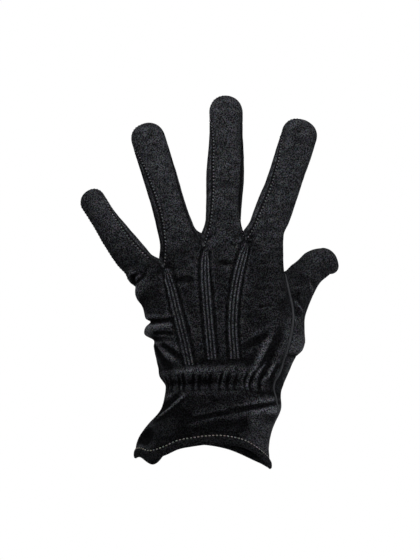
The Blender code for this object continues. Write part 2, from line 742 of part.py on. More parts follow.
def folded_ring(level, knuckle_ring):
    """A ring of the sleeve with its folds, lifted straight outwards."""
    ring = sleeve_row(level, knuckle_ring)
    out = ring - ring.mean(axis=0)
    out[:, 2] = 0.0
    out /= np.linalg.norm(out, axis=1)[:, None]
    lifts = [fold_lift(level, column / BACK_COLUMNS) for column in range(SLEEVE_RING)]
    return ring + out * np.array(lifts)[:, None]


def add_hem(knuckle_ring, finish):
    """The turned hem: one thicker band round the cuff's mouth, rounded along its lower edge."""
    upper = folded_ring(ROW_LEVELS[0], knuckle_ring)
    lower = folded_ring(-1.0, knuckle_ring)
    down = lower - upper
    down /= np.linalg.norm(down, axis=1)[:, None]
    out = np.cross(down, np.roll(upper, -1, axis=0) - np.roll(upper, 1, axis=0))
    out /= np.linalg.norm(out, axis=1)[:, None]
    top = upper + down * SEAM_GAP + out * (HEM_THICKNESS - WALL) / 2
    outlines = []
    for column in range(SLEEVE_RING):
        places = [
            top[column] - out[column] * HEM_THICKNESS * thick + down[column] * HEM_HEIGHT * fall
            for thick, fall in HEM_OUTLINE
        ]
        outlines.append(places)
    return add_object("hem", *sweep(outlines, closed=True), finish)


def add_elastic(rows, smooth, normals, finish):
    """The elastic inside the back of the wrist. The cloth bears on it where the puckers dip."""
    wrist = ROW_LEVELS.index(0.00)
    outlines = []
    for column in range(ELASTIC_START, BACK_COLUMNS - ELASTIC_START + 1):
        outer = []
        inner = []
        for row in (wrist - 1, wrist, wrist + 1):
            beside = range(column - 1, column + 2)
            dip = min(fold_lift(ROW_LEVELS[row], near / BACK_COLUMNS) for near in beside)
            number = rows[row][column]
            outer.append(smooth[number] + normals[number] * (dip - WALL - SEAT_GAP))
            inner.append(outer[-1] - normals[number] * ELASTIC_THICKNESS)
        outlines.append(outer + inner[::-1])
    return add_object("wrist_elastic", *sweep(outlines, closed=False), finish)


def sleeve_place(skin, rows, level, around):
    """The place on the folded sleeve at a level and a share round it."""
    row = int(np.clip(np.searchsorted(ROW_LEVELS, level) - 1, 0, len(ROW_LEVELS) - 2))
    rise = (level - ROW_LEVELS[row]) / (ROW_LEVELS[row + 1] - ROW_LEVELS[row])
    column = int(around * BACK_COLUMNS)
    side = around * BACK_COLUMNS - column
    corners = [skin.points[number] for number in between(rows, row, column)]
    low = corners[0] * (1 - side) + corners[1] * side
    high = corners[3] * (1 - side) + corners[2] * side
    return low * (1 - rise) + high * rise


def point_levels(point):
    """A point's rows follow the rows of the sleeve, so that it lies along the facets."""
    low, high = point.end + ROW_CLEARANCE, point.start - ROW_CLEARANCE
    between_ends = [level for level in reversed(ROW_LEVELS) if low < level < high]
    return [point.start, *between_ends, point.end]


def point_outline(here, out, across, surface, share):
    """The closed outline across a point: its seat on the cloth and the three tucks above it."""
    settled = float(ease(0, POINT_START_REACH, share))
    half_width = (POINT_START_WIDTH + (1 - POINT_START_WIDTH) * settled) * POINT_WIDTH / 2
    lift = SEAT_GAP + (1 - settled) * START_LIFT
    seats = []
    crest = []
    for side, height in POINT_OUTLINE:
        seat, _, _, _ = surface.find_nearest(Vector(here + across * side * half_width))
        seats.append(np.array(seat) + out * lift)
        crest.append(seats[-1] + out * (POINT_BASE + POINT_HEIGHT * height))
    return crest + seats[::-1]


def add_point(point, skin, rows, surface, finish):
    """One point: three stitched tucks that run from a fork down to the gathers."""
    outlines = []
    for level in point_levels(point):
        share = (point.start - level) / (point.start - point.end)
        around = smooth_column((0, 0.5, 1), (point.top, point.middle, point.bottom), share)
        here = sleeve_place(skin, rows, level, around)
        ahead = sleeve_place(skin, rows, level - ROW_CLEARANCE, around) - here
        _, out, _, _ = surface.find_nearest(Vector(here))
        across = np.cross(ahead, out)
        across /= np.linalg.norm(across)
        outlines.append(point_outline(here, np.array(out), across, surface, share))
    return add_object(f"point_{point.name}", *sweep(outlines, closed=False), finish)


def build():
    """All the pieces of the glove."""
    for existing in list(bpy.data.objects):
        bpy.data.objects.remove(existing)
    cotton = material("black_cotton", BLACK_COTTON, 0.92)
    tuck = material("black_tuck", BLACK_TUCK, 0.85)
    elastic = material("black_elastic", BLACK_ELASTIC, 0.70)
    fingers = [finger_rings(index) for index in range(len(FINGERS))]
    knuckle_ring = knuckle_ring_of(fingers)
    skin, rows = build_skin(knuckle_ring, fingers)
    normals = skin.normals()
    smooth = list(skin.points)
    fold_skin(skin, rows, normals)
    for name in dict.fromkeys(skin.panels):
        add_panel(name, skin, normals, cotton)
    add_hem(knuckle_ring, cotton)
    add_elastic(rows, smooth, normals, elastic)
    surface = BVHTree.FromPolygons([Vector(place) for place in skin.points], skin.faces)
    for point in POINTS:
        add_point(point, skin, rows, surface, tuck)


build()
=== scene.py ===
# %% [markdown]
# # A black cotton dress glove, as it looks when worn
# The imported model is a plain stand-in with the right sizes. This lesson sews a finer glove round it: the
# same cut, with rolled seams, stitched points, gathers, creases and knitted cloth. We start by loading the
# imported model, because every piece below takes the place of one of its solids.

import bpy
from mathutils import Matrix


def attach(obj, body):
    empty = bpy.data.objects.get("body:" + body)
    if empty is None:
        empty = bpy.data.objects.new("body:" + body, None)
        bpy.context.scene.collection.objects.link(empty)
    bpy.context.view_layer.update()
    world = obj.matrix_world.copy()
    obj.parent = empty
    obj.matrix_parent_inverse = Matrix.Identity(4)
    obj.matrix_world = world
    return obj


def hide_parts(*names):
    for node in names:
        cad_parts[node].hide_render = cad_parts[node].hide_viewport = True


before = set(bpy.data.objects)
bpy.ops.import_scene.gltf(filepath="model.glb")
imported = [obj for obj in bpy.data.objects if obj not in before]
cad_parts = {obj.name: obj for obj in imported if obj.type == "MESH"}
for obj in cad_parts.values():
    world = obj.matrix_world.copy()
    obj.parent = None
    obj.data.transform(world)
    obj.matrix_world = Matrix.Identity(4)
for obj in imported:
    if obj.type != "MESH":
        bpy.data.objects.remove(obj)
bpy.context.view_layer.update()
print("packed solids:", sorted(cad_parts))

# %% Tools from Blender and Python
import math
import random
from collections import namedtuple

import bpy
import numpy as np
from mathutils import Vector, noise
from mathutils.bvhtree import BVHTree

MM = 0.001

# %% [markdown]
# ## The cut
# A glove is measured in parts: its length from wrist to knuckles, its width over the knuckles, the wrist, the
# cuff and each finger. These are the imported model's own sizes, so the finer cloth lies exactly round it.

# %% Sizes of the worn glove, in metres
HAND_LENGTH = 0.0920
KNUCKLE_WIDTH = 0.0954
KNUCKLE_SHIFT = -0.0075
WRIST_WIDTH = 0.0700
WRIST_DEPTH = 0.0400
CUFF_LENGTH = 0.0460
CUFF_WIDTH = 0.0800
THUMB_MOUND = 0.0095
LITTLE_LENGTH = 0.0580
RING_LENGTH = 0.0780
MIDDLE_LENGTH = 0.0835
INDEX_LENGTH = 0.0745
THUMB_LENGTH = 0.0500
FINGER_WIDTH = 0.0205
FINGER_DEPTH = 0.0185
THUMB_WIDTH = 0.0195
FORK_DROP = 0.0070
FORK_DEPTH = 0.0165

# %% [markdown]
# ## How fine the cloth is
# The cloth is a grid of small facets. Each finger's back has 24 of them and each side strip 8, which makes a
# facet about 1 mm wide. That is fine enough for gathers and creases without millions of triangles. Most forms
# come from short tables, so two helpers read a table: one names its columns, one draws a smooth curve through
# a column. The others make a soft step, a bell, a way of length one, and the edges round a facet.

# %% The grid
SIDE_FACETS = 4
BACK_FACETS = 24
FINGER_RING = 2 * BACK_FACETS + 4 * SIDE_FACETS
BACK_COLUMNS = 4 * BACK_FACETS + 2 * SIDE_FACETS
SLEEVE_RING = 2 * BACK_COLUMNS
FACET = 0.97 * MM
OUTLINE_STEPS = 1440
print("facets round a finger:", FINGER_RING, "and round the sleeve:", SLEEVE_RING)


# %% Small helpers for forms
def ease(low, high, value):
    """0 below low, 1 above high and a smooth step between."""
    share = np.clip((np.asarray(value, float) - low) / (high - low), 0.0, 1.0)
    return share * share * (3.0 - 2.0 * share)


def bell(value):
    """1 at nought and falling smoothly on both sides."""
    return np.exp(-(value**2))


def unit(ways):
    """One way or a row of ways, each made one long."""
    return ways / np.linalg.norm(ways, axis=-1, keepdims=True)


def edges_of(face):
    """The edges round a facet or a closed loop of point numbers."""
    return zip(face, face[1:] + face[:1])


def table(columns, *rows):
    """Rows of values with named columns."""
    kind = namedtuple("Row", columns)
    return [kind(*row) for row in rows]


def smooth_column(places, values, at):
    """A smooth curve through values at rising places, read at one place."""
    places = np.asarray(places, float)
    values = np.asarray(values, float)
    slopes = np.gradient(values, places)
    k = int(np.clip(np.searchsorted(places, at) - 1, 0, len(places) - 2))
    span = places[k + 1] - places[k]
    s = float(np.clip((at - places[k]) / span, 0.0, 1.0))
    start = (1 + 2 * s) * (1 - s) ** 2 * values[k] + s * (1 - s) ** 2 * span * slopes[k]
    return start + s * s * (3 - 2 * s) * values[k + 1] + s * s * (s - 1) * span * slopes[k + 1]


def curve(rows, column, at):
    """A smooth curve through one column of a table that has a column called at."""
    return smooth_column([row.at for row in rows], [getattr(row, column) for row in rows], at)


# %% [markdown]
# ## The sleeve
# From the hem to the knuckles the glove is a sleeve. A table gives its outline at a few levels: -1 is the
# hem, 0 the wrist and 1 the knuckles. A smooth curve through each column gives every level between them,
# so one short table shapes the whole flared cuff, the narrow wrist and the palm.

# %% The sleeve's outline at its main levels
LEVELS = table(
    "at of width middle back palm seam_little seam_index",
    (-1.00, CUFF_WIDTH, 1.000, -0.112, 0.66, 0.64, 2, 4),
    (-0.72, CUFF_WIDTH, 0.962, -0.108, 0.63, 0.64, 6, 8),
    (-0.40, CUFF_WIDTH, 0.890, -0.025, 0.56, 0.61, 16, 16),
    (-0.16, WRIST_WIDTH, 0.980, 0.020, 0.50, 0.56, 32, 26),
    (0.00, WRIST_WIDTH, 1.000, 0.034, 0.46, 0.53, 40, 32),
    (0.14, WRIST_WIDTH, 1.064, 0.032, 0.46, 0.51, 32, 24),
    (0.32, WRIST_WIDTH, 1.143, 0.029, 0.45, 0.47, 18, 17),
    (0.50, KNUCKLE_WIDTH, 0.886, 0.008, 0.42, 0.41, 6, 8),
    (0.75, KNUCKLE_WIDTH, 0.896, -0.029, 0.36, 0.33, 2, 3),
    (1.00, KNUCKLE_WIDTH, 1.000, -0.078, 0.30, 0.28, 0, 0),
)
SQUARENESS = 2.35


def rounded(share):
    """A sine or cosine drawn out so that the oval gets squarer corners."""
    return np.sign(share) * np.abs(share) ** (2 / SQUARENESS)


def section(level):
    """An even ring of points round the sleeve at a level, in its own plane."""
    places = [row.at for row in LEVELS]
    half_width = smooth_column(places, [row.width * row.of for row in LEVELS], level) / 2
    middle = smooth_column(places, [row.middle * row.of for row in LEVELS], level)
    back = curve(LEVELS, "back", level) * WRIST_DEPTH
    palm = curve(LEVELS, "palm", level) * WRIST_DEPTH
    first = 180 + curve(LEVELS, "seam_little", level)
    degrees = np.linspace(first, first - 360, OUTLINE_STEPS + 1)
    angles = np.radians(degrees)
    x = middle + half_width * rounded(np.cos(angles))
    y = -np.where(np.sin(angles) > 0, back, palm) * rounded(np.sin(angles))
    runs = np.concatenate([[0], np.cumsum(np.hypot(np.diff(x), np.diff(y)))])
    index_seam = np.interp(curve(LEVELS, "seam_index", level), degrees[::-1], runs[::-1])
    back_share = np.linspace(0, index_seam, BACK_COLUMNS + 1)[:-1]
    palm_share = np.linspace(index_seam, runs[-1], BACK_COLUMNS + 1)[:-1]
    along = np.concatenate([back_share, palm_share])
    return np.stack([np.interp(along, runs, x), np.interp(along, runs, y)], axis=1)


print("cuff's outline, wide and deep in mm:", np.round(np.ptp(section(-1.0), axis=0) / MM, 1))

# %% [markdown]
# The hem isn't level, so a table says how far it hangs: from the little finger's seam over the back (0 to 1)
# and under the palm (1 to 2). It is high over the back, lowest at the thumb's seam, and it dips twice beside
# the little finger's seam, where the cuff's cloth folds. The rows of facets are close together, and closer
# still at the gathers.

# %% The hem's drop and the rows of the sleeve
HEM_MARKS = table(
    "at drop",
    (0.00, 0.925), (0.08, 0.918), (0.14, 0.916), (0.22, 0.965), (0.31, 0.916), (0.39, 0.832), (0.46, 0.798),
    (0.69, 0.779), (0.765, 0.826), (0.89, 0.980), (1.00, 1.075), (1.10, 1.043), (1.20, 0.957), (1.40, 0.752),
    (1.60, 0.705), (1.70, 0.760), (1.80, 0.990), (1.90, 0.900), (2.00, 0.925),
)
GATHERS_START = -0.11
SLEEVE_MARKS = (-0.90, -0.60, -0.30, GATHERS_START, 0.14, 0.20, 0.36, 0.50, 0.62, 0.77, 0.88, 1.00)
ROW_SPACING = 1.05 * MM
GATHER_SPACING = 0.6 * MM


def hem_drop(around):
    """How far the hem hangs below the wrist round the sleeve."""
    return CUFF_LENGTH * np.array([curve(HEM_MARKS, "drop", place) for place in around])


def row_levels():
    """The levels of the sleeve's rows. Every mark is one of them."""
    levels = [SLEEVE_MARKS[0]]
    for low, high in zip(SLEEVE_MARKS, SLEEVE_MARKS[1:]):
        length = (high - low) * (HAND_LENGTH if low >= GATHERS_START else CUFF_LENGTH)
        spacing = GATHER_SPACING if low == GATHERS_START else ROW_SPACING
        levels += list(np.linspace(low, high, math.ceil(length / spacing) + 1)[1:])
    return levels


ROW_LEVELS = row_levels()
print("rows of the sleeve:", len(ROW_LEVELS))

# %% [markdown]
# ## The fingers
# The top of the sleeve is a line of knuckle marks: two ends and three forks between the fingers. Each finger
# leans out from its marks, bends a little, and goes through its own base, joint and tip widths. The seams
# run along the fingers' sides and move outwards near the tip, as a narrowing side strip does.

# %% Knuckle marks and the fingers' table
Fork = namedtuple("Fork", "across up inset drop")
LITTLE_END = Fork(-0.500, 0.685, 0.0, 0.0)
FORKS = (
    Fork(-0.290, 0.825, 0.40, 0.86),
    Fork(-0.026, 0.994, 0.17, 1.28),
    Fork(0.234, 1.004, 0.23, 0.86),
)
INDEX_END = Fork(0.500, 0.959, 0.0, 0.0)
FINGERS = table(
    "name length lean bow curl turn base joint tip",
    ("little", LITTLE_LENGTH, 35.0, 0.022, 9, -12, 0.98, 0.88, 0.76),
    ("ring", RING_LENGTH, 16.6, -0.004, 6, 10, 1.02, 0.98, 1.00),
    ("middle", MIDDLE_LENGTH, -1.6, -0.012, 4, 8, 1.04, 1.10, 0.98),
    ("index", INDEX_LENGTH, -19.0, -0.012, 7, 10, 1.12, 1.03, 1.05),
)
GIRTHS = table(
    "at of width depth",
    (0.00, "base", 1.05, 1.16),
    (0.06, "base", 0.94, 1.12),
    (0.15, "base", 0.97, 1.06),
    (0.42, "joint", 1.00, 1.02),
    (0.72, "tip", 1.00, 0.92),
    (1.00, "tip", 1.00, 0.86),
)

# %% Where each ring of a finger lies
STRIP_END = 0.80
STRIP_ROWS = 57
TIP_SHARE = 0.125
STRIP_SHARES = np.linspace(0, STRIP_END, STRIP_ROWS + 1)
BODY_SHARES = np.concatenate([STRIP_SHARES, np.linspace(STRIP_END, 1 - TIP_SHARE, 7)[1:]])
TIP_ANGLES = (9, 18, 27, 36, 45, 54, 62, 70, 77, 83)
TIP_BLUNTNESS = 0.85
SEAM_ANGLES = table("at degrees", (0.00, 43), (0.25, 42), (0.50, 37), (0.66, 29), (0.80, 12), (1.00, 11))


def ring_angles(seam):
    """The angles of a finger's ring from its little side over the back."""
    quarter = np.concatenate([
        np.linspace(180, 180 - seam, SIDE_FACETS + 1)[:-1],
        np.linspace(180 - seam, seam, BACK_FACETS + 1)[:-1],
        np.linspace(seam, 0, SIDE_FACETS + 1)[:-1],
    ])
    return np.radians(np.concatenate([quarter, quarter - 180]))


def tip_stations(length):
    """The rings of a round tip: how far each lies past the last full ring, and its scale."""
    turns = [math.radians(angle) for angle in TIP_ANGLES]
    return [(length * math.sin(turn), math.cos(turn) ** TIP_BLUNTNESS) for turn in turns]


def finger_stations():
    """Each ring's share of the length, its scale and its seam angle."""
    stations = [(share, 1.0) for share in BODY_SHARES]
    stations += [(1 - TIP_SHARE + reach, scale) for reach, scale in tip_stations(TIP_SHARE)]
    return [(*station, curve(SEAM_ANGLES, "degrees", station[0])) for station in stations]


print("rings on each finger:", len(finger_stations()))


# %% One ring of a finger
def finger_axes(finger):
    """The way along a finger and the way across it, in the plane of the palm."""
    lean = math.radians(finger.lean)
    return np.array([-math.sin(lean), 0.0, math.cos(lean)]), np.array([math.cos(lean), 0.0, math.sin(lean)])


def knuckle(fork):
    """A knuckle mark's place in the plane of the palm."""
    return np.array([KNUCKLE_SHIFT + fork.across * KNUCKLE_WIDTH, 0.0, fork.up * HAND_LENGTH])


def finger_ring(finger, start, share, scale, seam):
    """One ring of a finger at a share of its length."""
    axis, side = finger_axes(finger)
    curl = math.radians(finger.curl) * share
    bow = 4 * share * (1 - share) * finger.bow * finger.length
    centre = start + axis * share * finger.length - side * bow
    centre[1] += math.sin(curl) * share * finger.length / 2
    widths = [girth.width * getattr(finger, girth.of) for girth in GIRTHS]
    half_width = smooth_column([girth.at for girth in GIRTHS], widths, share) * FINGER_WIDTH / 2 * scale
    half_depth = curve(GIRTHS, "depth", share) * FINGER_DEPTH / 2 * scale * (1 + finger.joint) / 2
    angles = ring_angles(seam) - math.radians(finger.turn)
    back = np.array([0.0, -math.cos(curl), 0.0]) + axis * math.sin(curl)
    across = np.outer(np.cos(angles) * half_width, side)
    return centre + across + np.outer(np.sin(angles) * half_depth, back)


# %% [markdown]
# Where two fingers meet, the cloth runs through the fork from the glove's back to its palm. The base
# ring of each finger is drawn to those fork lines, and the pull fades out along the finger.

# %% Draw the fingers' bases to the forks
FORK_BLEND = 0.32
FORK_FALL = 2.5
BACK_END = SIDE_FACETS + BACK_FACETS
PALM_START = BACK_END + 2 * SIDE_FACETS


def fork_line(fork):
    """The lowest line of the cloth between two fingers, from its back corner to its palm corner."""
    points = []
    for step in np.linspace(-1, 1, 2 * SIDE_FACETS + 1):
        side = fork.inset * FORK_DROP * step * step
        place = [side, step * FORK_DEPTH / 2, -fork.drop * FORK_DROP * step * step]
        points.append(knuckle(fork) + place)
    return np.array(points)


def fork_pull(index, base):
    """How far each point of a finger's base ring moves to meet the forks on both of its sides."""
    pull = np.zeros_like(base)
    if index < len(FORKS):
        for step, point in enumerate(fork_line(FORKS[index])):
            pull[BACK_END + step] = point - base[BACK_END + step]
    if index > 0:
        for step, point in enumerate(fork_line(FORKS[index - 1])):
            place = (SIDE_FACETS - step) % FINGER_RING
            pull[place] = point - base[place]
    for start in (SIDE_FACETS, PALM_START):
        end = (start + BACK_FACETS) % FINGER_RING
        for step in range(1, BACK_FACETS):
            share = float(ease(0, 1, step / BACK_FACETS))
            pull[start + step] = (1 - share) * pull[start] + share * pull[end]
    return pull


def finger_rings(index):
    """All the rings of a finger and its tip."""
    finger = FINGERS[index]
    marks = (LITTLE_END, *FORKS, INDEX_END)
    start = (knuckle(marks[index]) + knuckle(marks[index + 1])) / 2
    stations = finger_stations()
    rings = [finger_ring(finger, start, *station) for station in stations]
    pull = fork_pull(index, rings[0])
    for ring, (share, _, _) in zip(rings, stations):
        ring += pull * max(0.0, 1 - share / FORK_BLEND) ** FORK_FALL
    axis, _ = finger_axes(finger)
    return rings, rings[-1].mean(axis=0) + axis * finger.length * (1 - stations[-1][0])


def shared_places(index):
    """Each place on a finger's base ring, back and palm, with its place on the sleeve's last ring."""
    back = SIDE_FACETS + BACK_FACETS * index
    palm = BACK_COLUMNS + SIDE_FACETS + BACK_FACETS * (len(FINGERS) - 1 - index)
    for start, sleeve_start in ((SIDE_FACETS, back), (PALM_START, palm)):
        for step in range(BACK_FACETS + 1):
            yield (start + step) % FINGER_RING, sleeve_start + step


def knuckle_ring_of(fingers):
    """The sleeve's last ring: the backs of the fingers' bases from little to index, then the palms."""
    ring = np.zeros((SLEEVE_RING, 3))
    for index, (rings, _) in enumerate(fingers):
        for own, shared in shared_places(index):
            ring[shared] = rings[0][own]
    for step in range(2 * SIDE_FACETS + 1):
        ring[BACK_COLUMNS - SIDE_FACETS + step] = fingers[-1][0][0][BACK_END + step]
        ring[(step - SIDE_FACETS) % SLEEVE_RING] = fingers[0][0][0][(step - SIDE_FACETS) % FINGER_RING]
    return ring


fingers = [finger_rings(index) for index in range(len(FINGERS))]
knuckle_ring = knuckle_ring_of(fingers)
print("fingertips, height above the wrist in mm:", [round(float(tip[2] / MM)) for _, tip in fingers])

# %% [markdown]
# ## The rows of the sleeve in place
# A row is level at the wrist and slants towards the hem or the knuckles. The ball of the thumb swells the
# palm's side, and near the knuckles the oval turns into the row of finger bases.

# %% One row of the sleeve
MOUND = table("around up reach height turn", (1.12, 0.36, 0.10, 0.26, 15))[0]
KNUCKLE_BLEND = (0.62, 1.0)
AROUND = np.arange(SLEEVE_RING) / BACK_COLUMNS
HEM_DROPS = hem_drop(AROUND)


def sleeve_row(level):
    """One ring of the sleeve, before its folds."""
    rise = level * (knuckle_ring[:, 2] if level > 0 else HEM_DROPS)
    ring = np.column_stack([section(level), rise])
    turn = math.radians(MOUND.turn)
    swell = THUMB_MOUND * bell((level - MOUND.up) / MOUND.height)
    swell = swell * bell((AROUND - MOUND.around) / MOUND.reach)
    ring += np.outer(swell, [math.cos(turn), math.sin(turn), 0.0])
    if level > 0:
        top = np.column_stack([section(1.0), knuckle_ring[:, 2]])
        ring += (knuckle_ring - top) * float(ease(*KNUCKLE_BLEND, level))
    return ring


# %% [markdown]
# ## One sheet, many panels
# It is easiest to shape the whole glove as one sheet and to cut it into its panels afterwards, because
# neighbouring panels then meet exactly. Each facet carries the name of its panel and its place in the
# cloth, so that the knitted stitches later run along the fingers.

# %% A sheet of named facets
Sheet = namedtuple("Sheet", "points faces panels weave")
sheet = Sheet([], [], [], [])


def add_ring(ring):
    first = len(sheet.points)
    sheet.points.extend(np.asarray(place, float) for place in ring)
    return list(range(first, len(sheet.points)))


def add_facet(corners, panel, weave):
    sheet.faces.append(tuple(corners))
    sheet.panels.append(panel)
    sheet.weave.append(weave)


def facet_between(rings, row, column):
    """The four corners of the facet above a row and beside a column."""
    beside = (column + 1) % len(rings[row])
    return rings[row][column], rings[row][beside], rings[row + 1][beside], rings[row + 1][column]


def weave_of(column, low, high):
    """A facet's place in the cloth, across and along, in metres."""
    left, right = column * FACET, (column + 1) * FACET
    return ((left, low), (right, low), (right, high), (left, high))


# %% Lay out the sleeve with the thumb's hole in it
HOLE_COLUMNS = 28
HOLE_END = BACK_COLUMNS + HOLE_COLUMNS
HOLE_LOW = ROW_LEVELS.index(0.20)
HOLE_HIGH = ROW_LEVELS.index(0.77)


def in_thumb_hole(row, column):
    return HOLE_LOW <= row < HOLE_HIGH and BACK_COLUMNS <= column < HOLE_END


def height_of(level):
    return level * (HAND_LENGTH if level > 0 else CUFF_LENGTH)


rows = [add_ring(sleeve_row(level)) for level in ROW_LEVELS]
for row in range(len(rows) - 1):
    low, high = height_of(ROW_LEVELS[row]), height_of(ROW_LEVELS[row + 1])
    for column in range(SLEEVE_RING):
        if not in_thumb_hole(row, column):
            panel = "back_panel" if column < BACK_COLUMNS else "palm_panel"
            add_facet(facet_between(rows, row, column), panel, weave_of(column, low, high))
print("facets in the sleeve:", len(sheet.faces))

# %% [markdown]
# The four finger tubes share their base points with the sleeve and, in the forks, with each other. Between
# two fingers the sides are lined by a narrow strip, the fourchette. It runs up one finger and down the next.

# %% Add the fingers
def base_corners(index, knuckles, forks):
    """The point numbers round a finger's base, shared with the sleeve and the next finger."""
    ring = [None] * FINGER_RING
    for own, shared in shared_places(index):
        ring[own] = knuckles[shared]
    for step in range(1, 2 * SIDE_FACETS):
        outer_side = knuckles[BACK_COLUMNS - SIDE_FACETS + step]
        inner_side = knuckles[(SIDE_FACETS - step) % SLEEVE_RING]
        far = outer_side if index == len(FORKS) else forks[index][step - 1]
        near = inner_side if index == 0 else forks[index - 1][step - 1]
        ring[BACK_END + step] = far
        ring[(SIDE_FACETS - step) % FINGER_RING] = near
    return ring


def finger_panel(index, row, column):
    """The panel of a finger's facet: a fourchette lines the sides that face another finger."""
    far_side = BACK_END <= column < PALM_START
    near_side = column < SIDE_FACETS or column >= FINGER_RING - SIDE_FACETS
    if row < STRIP_ROWS and far_side and index < len(FORKS):
        return f"fourchette_{FINGERS[index].name}_{FINGERS[index + 1].name}"
    if row < STRIP_ROWS and near_side and index > 0:
        return f"fourchette_{FINGERS[index - 1].name}_{FINGERS[index].name}"
    return "back_panel" if column < FINGER_RING // 2 else "palm_panel"


def add_tube(rings, tip, heights, panel_of):
    """Facets between rings of point numbers, closed by a fan at the tip."""
    count = len(rings[0])
    for row in range(len(rings) - 1):
        for column in range(count):
            weave = weave_of(column, heights[row], heights[row + 1])
            add_facet(facet_between(rings, row, column), panel_of(row, column), weave)
    for column in range(count):
        corners = (rings[-1][column], rings[-1][(column + 1) % count], tip)
        weave = weave_of(column, heights[-1], heights[-1] + FACET)
        add_facet(corners, panel_of(len(rings), column), weave[:3])


forks = [add_ring(fork_line(fork)[1:-1]) for fork in FORKS]
for index, (rings, tip) in enumerate(fingers):
    numbers = [base_corners(index, rows[-1], forks)] + [add_ring(ring) for ring in rings[1:]]
    heights = [HAND_LENGTH + share * FINGERS[index].length for share, _, _ in finger_stations()]
    add_tube(numbers, add_ring([tip])[0], heights, lambda row, column: finger_panel(index, row, column))
print("facets with the fingers:", len(sheet.faces))

# %% [markdown]
# ## The thumb
# The thumb is a tube of its own, set into a hole at the side of the palm. Its rings start as the hole's own
# points and turn bit by bit into even ovals, which lean outwards as the photograph shows. Averaging its first
# rings' points with their neighbours' rounds the root.

# %% The thumb's course
THUMB_STEPS = table(
    "at out up palm tilt height depth",
    (0.00, 0.000, 0.000, 0.000, 4, 2.50, 1.40),
    (0.20, 0.170, 0.110, 0.070, 9, 2.20, 1.26),
    (0.38, 0.250, 0.300, 0.130, 11, 1.76, 1.16),
    (0.52, 0.318, 0.425, 0.170, 11, 1.50, 1.08),
    (0.66, 0.384, 0.535, 0.200, 11, 1.31, 1.02),
    (0.80, 0.462, 0.625, 0.225, 12, 1.08, 0.96),
    (1.00, 0.600, 0.705, 0.250, 15, 0.85, 0.82),
)
THUMB_ROWS = 44
THUMB_TIP_SHARE = 0.135
THUMB_BLEND = 0.45


def thumb_station(share, reach):
    """The middle of the thumb's ring at a share of its course, with its tall and its flat half axes."""
    columns = ("out", "up", "palm", "tilt", "height", "depth")
    out, up, palm, tilt, height, depth = (curve(THUMB_STEPS, name, share) for name in columns)
    tilt = math.radians(tilt)
    middle = np.array([out + reach, palm, up]) * THUMB_LENGTH
    tall = np.array([-math.sin(tilt), 0.0, math.cos(tilt)]) * height * THUMB_WIDTH / 2
    return middle, tall, np.array([0.0, 1.0, 0.0]) * depth * THUMB_WIDTH / 2


def thumb_stations():
    """Each ring's share of the course, its reach past the course's end and its scale."""
    stations = [(share, 0.0, 1.0) for share in np.linspace(0, 1, THUMB_ROWS + 1)[1:]]
    return stations + [(1.0, *station) for station in tip_stations(THUMB_TIP_SHARE)]


# %% Draw in the hole's corners and find its loop
CORNER_PULL = 0.34
CORNER_REACH = 0.0095


def round_hole():
    """Draws the sheet in at the two corners of the thumb's hole that lie in the palm."""
    centre = (sheet.points[rows[HOLE_LOW][BACK_COLUMNS]] + sheet.points[rows[HOLE_HIGH][HOLE_END]]) / 2
    corners = [sheet.points[rows[row][HOLE_END]].copy() for row in (HOLE_LOW, HOLE_HIGH)]
    numbers = [number for row in rows for number in row[BACK_COLUMNS:]]
    places = np.array([sheet.points[number] for number in numbers])
    near = sum(bell(np.linalg.norm(places - corner, axis=1) / CORNER_REACH) for corner in corners)
    moved = places + (centre - places) * (CORNER_PULL * np.minimum(1.0, near))[:, None]
    for number, place in zip(numbers, moved):
        sheet.points[number] = place


def hole_loop():
    """The point numbers round the thumb's hole, clockwise from the outside."""
    top = rows[HOLE_HIGH][BACK_COLUMNS:HOLE_END]
    inner = [rows[row][HOLE_END] for row in range(HOLE_HIGH, HOLE_LOW, -1)]
    bottom = rows[HOLE_LOW][HOLE_END:BACK_COLUMNS:-1]
    outer = [rows[row][BACK_COLUMNS] for row in range(HOLE_LOW, HOLE_HIGH)]
    return (top + inner + bottom + outer)[::-1]


round_hole()
print("points round the thumb's hole:", len(hole_loop()))


# %% Grow the thumb out of its hole
def root_angles(spokes):
    """The angles of the hole's points seen along the thumb, and even angles that fit them best."""
    _, tall, flat = thumb_station(0, 0)
    angles = np.unwrap(np.arctan2(spokes @ flat / (flat @ flat), spokes @ tall / (tall @ tall)))
    step = math.copysign(2 * math.pi / len(spokes), angles[-1] - angles[0])
    return angles, angles.mean() + (np.arange(len(spokes)) - (len(spokes) - 1) / 2) * step


def add_thumb():
    """The thumb's tube, which grows out of its hole and bends outwards."""
    loop = hole_loop()
    base = np.array([sheet.points[number] for number in loop])
    start = base.mean(axis=0)
    angles, even = root_angles(base - start)
    rings, heights = [loop], [0.0]
    for share, reach, scale in thumb_stations():
        middle, tall, flat = thumb_station(share, reach)
        hold = 1 - float(ease(0, THUMB_BLEND, share))
        turns = angles * hold + even * (1 - hold)
        ring = start + middle + scale * (np.outer(np.cos(turns), tall) + np.outer(np.sin(turns), flat))
        rings.append(add_ring(ring * (1 - hold) + (base + middle) * hold))
        heights.append((share + reach) * THUMB_LENGTH)
    tip, _, _ = thumb_station(1, THUMB_TIP_SHARE)
    add_tube(rings, add_ring([start + tip])[0], heights, lambda row, column: "thumb")
    return rings


def averaged(values, rounds, chosen=slice(None)):
    """The sheet's values after the chosen ones are averaged with their neighbours' a number of times."""
    edges = {tuple(sorted(edge)) for face in sheet.faces for edge in edges_of(face)}
    low, high = np.array(sorted(edges)).T
    here, there = np.append(low, high), np.append(high, low)
    count = np.bincount(here)
    values = np.array(values, float)
    for _ in range(rounds):
        total = np.zeros_like(values)
        np.add.at(total, here, values[there])
        values[chosen] = (values + (total.T / count).T)[chosen] / 2
    return values


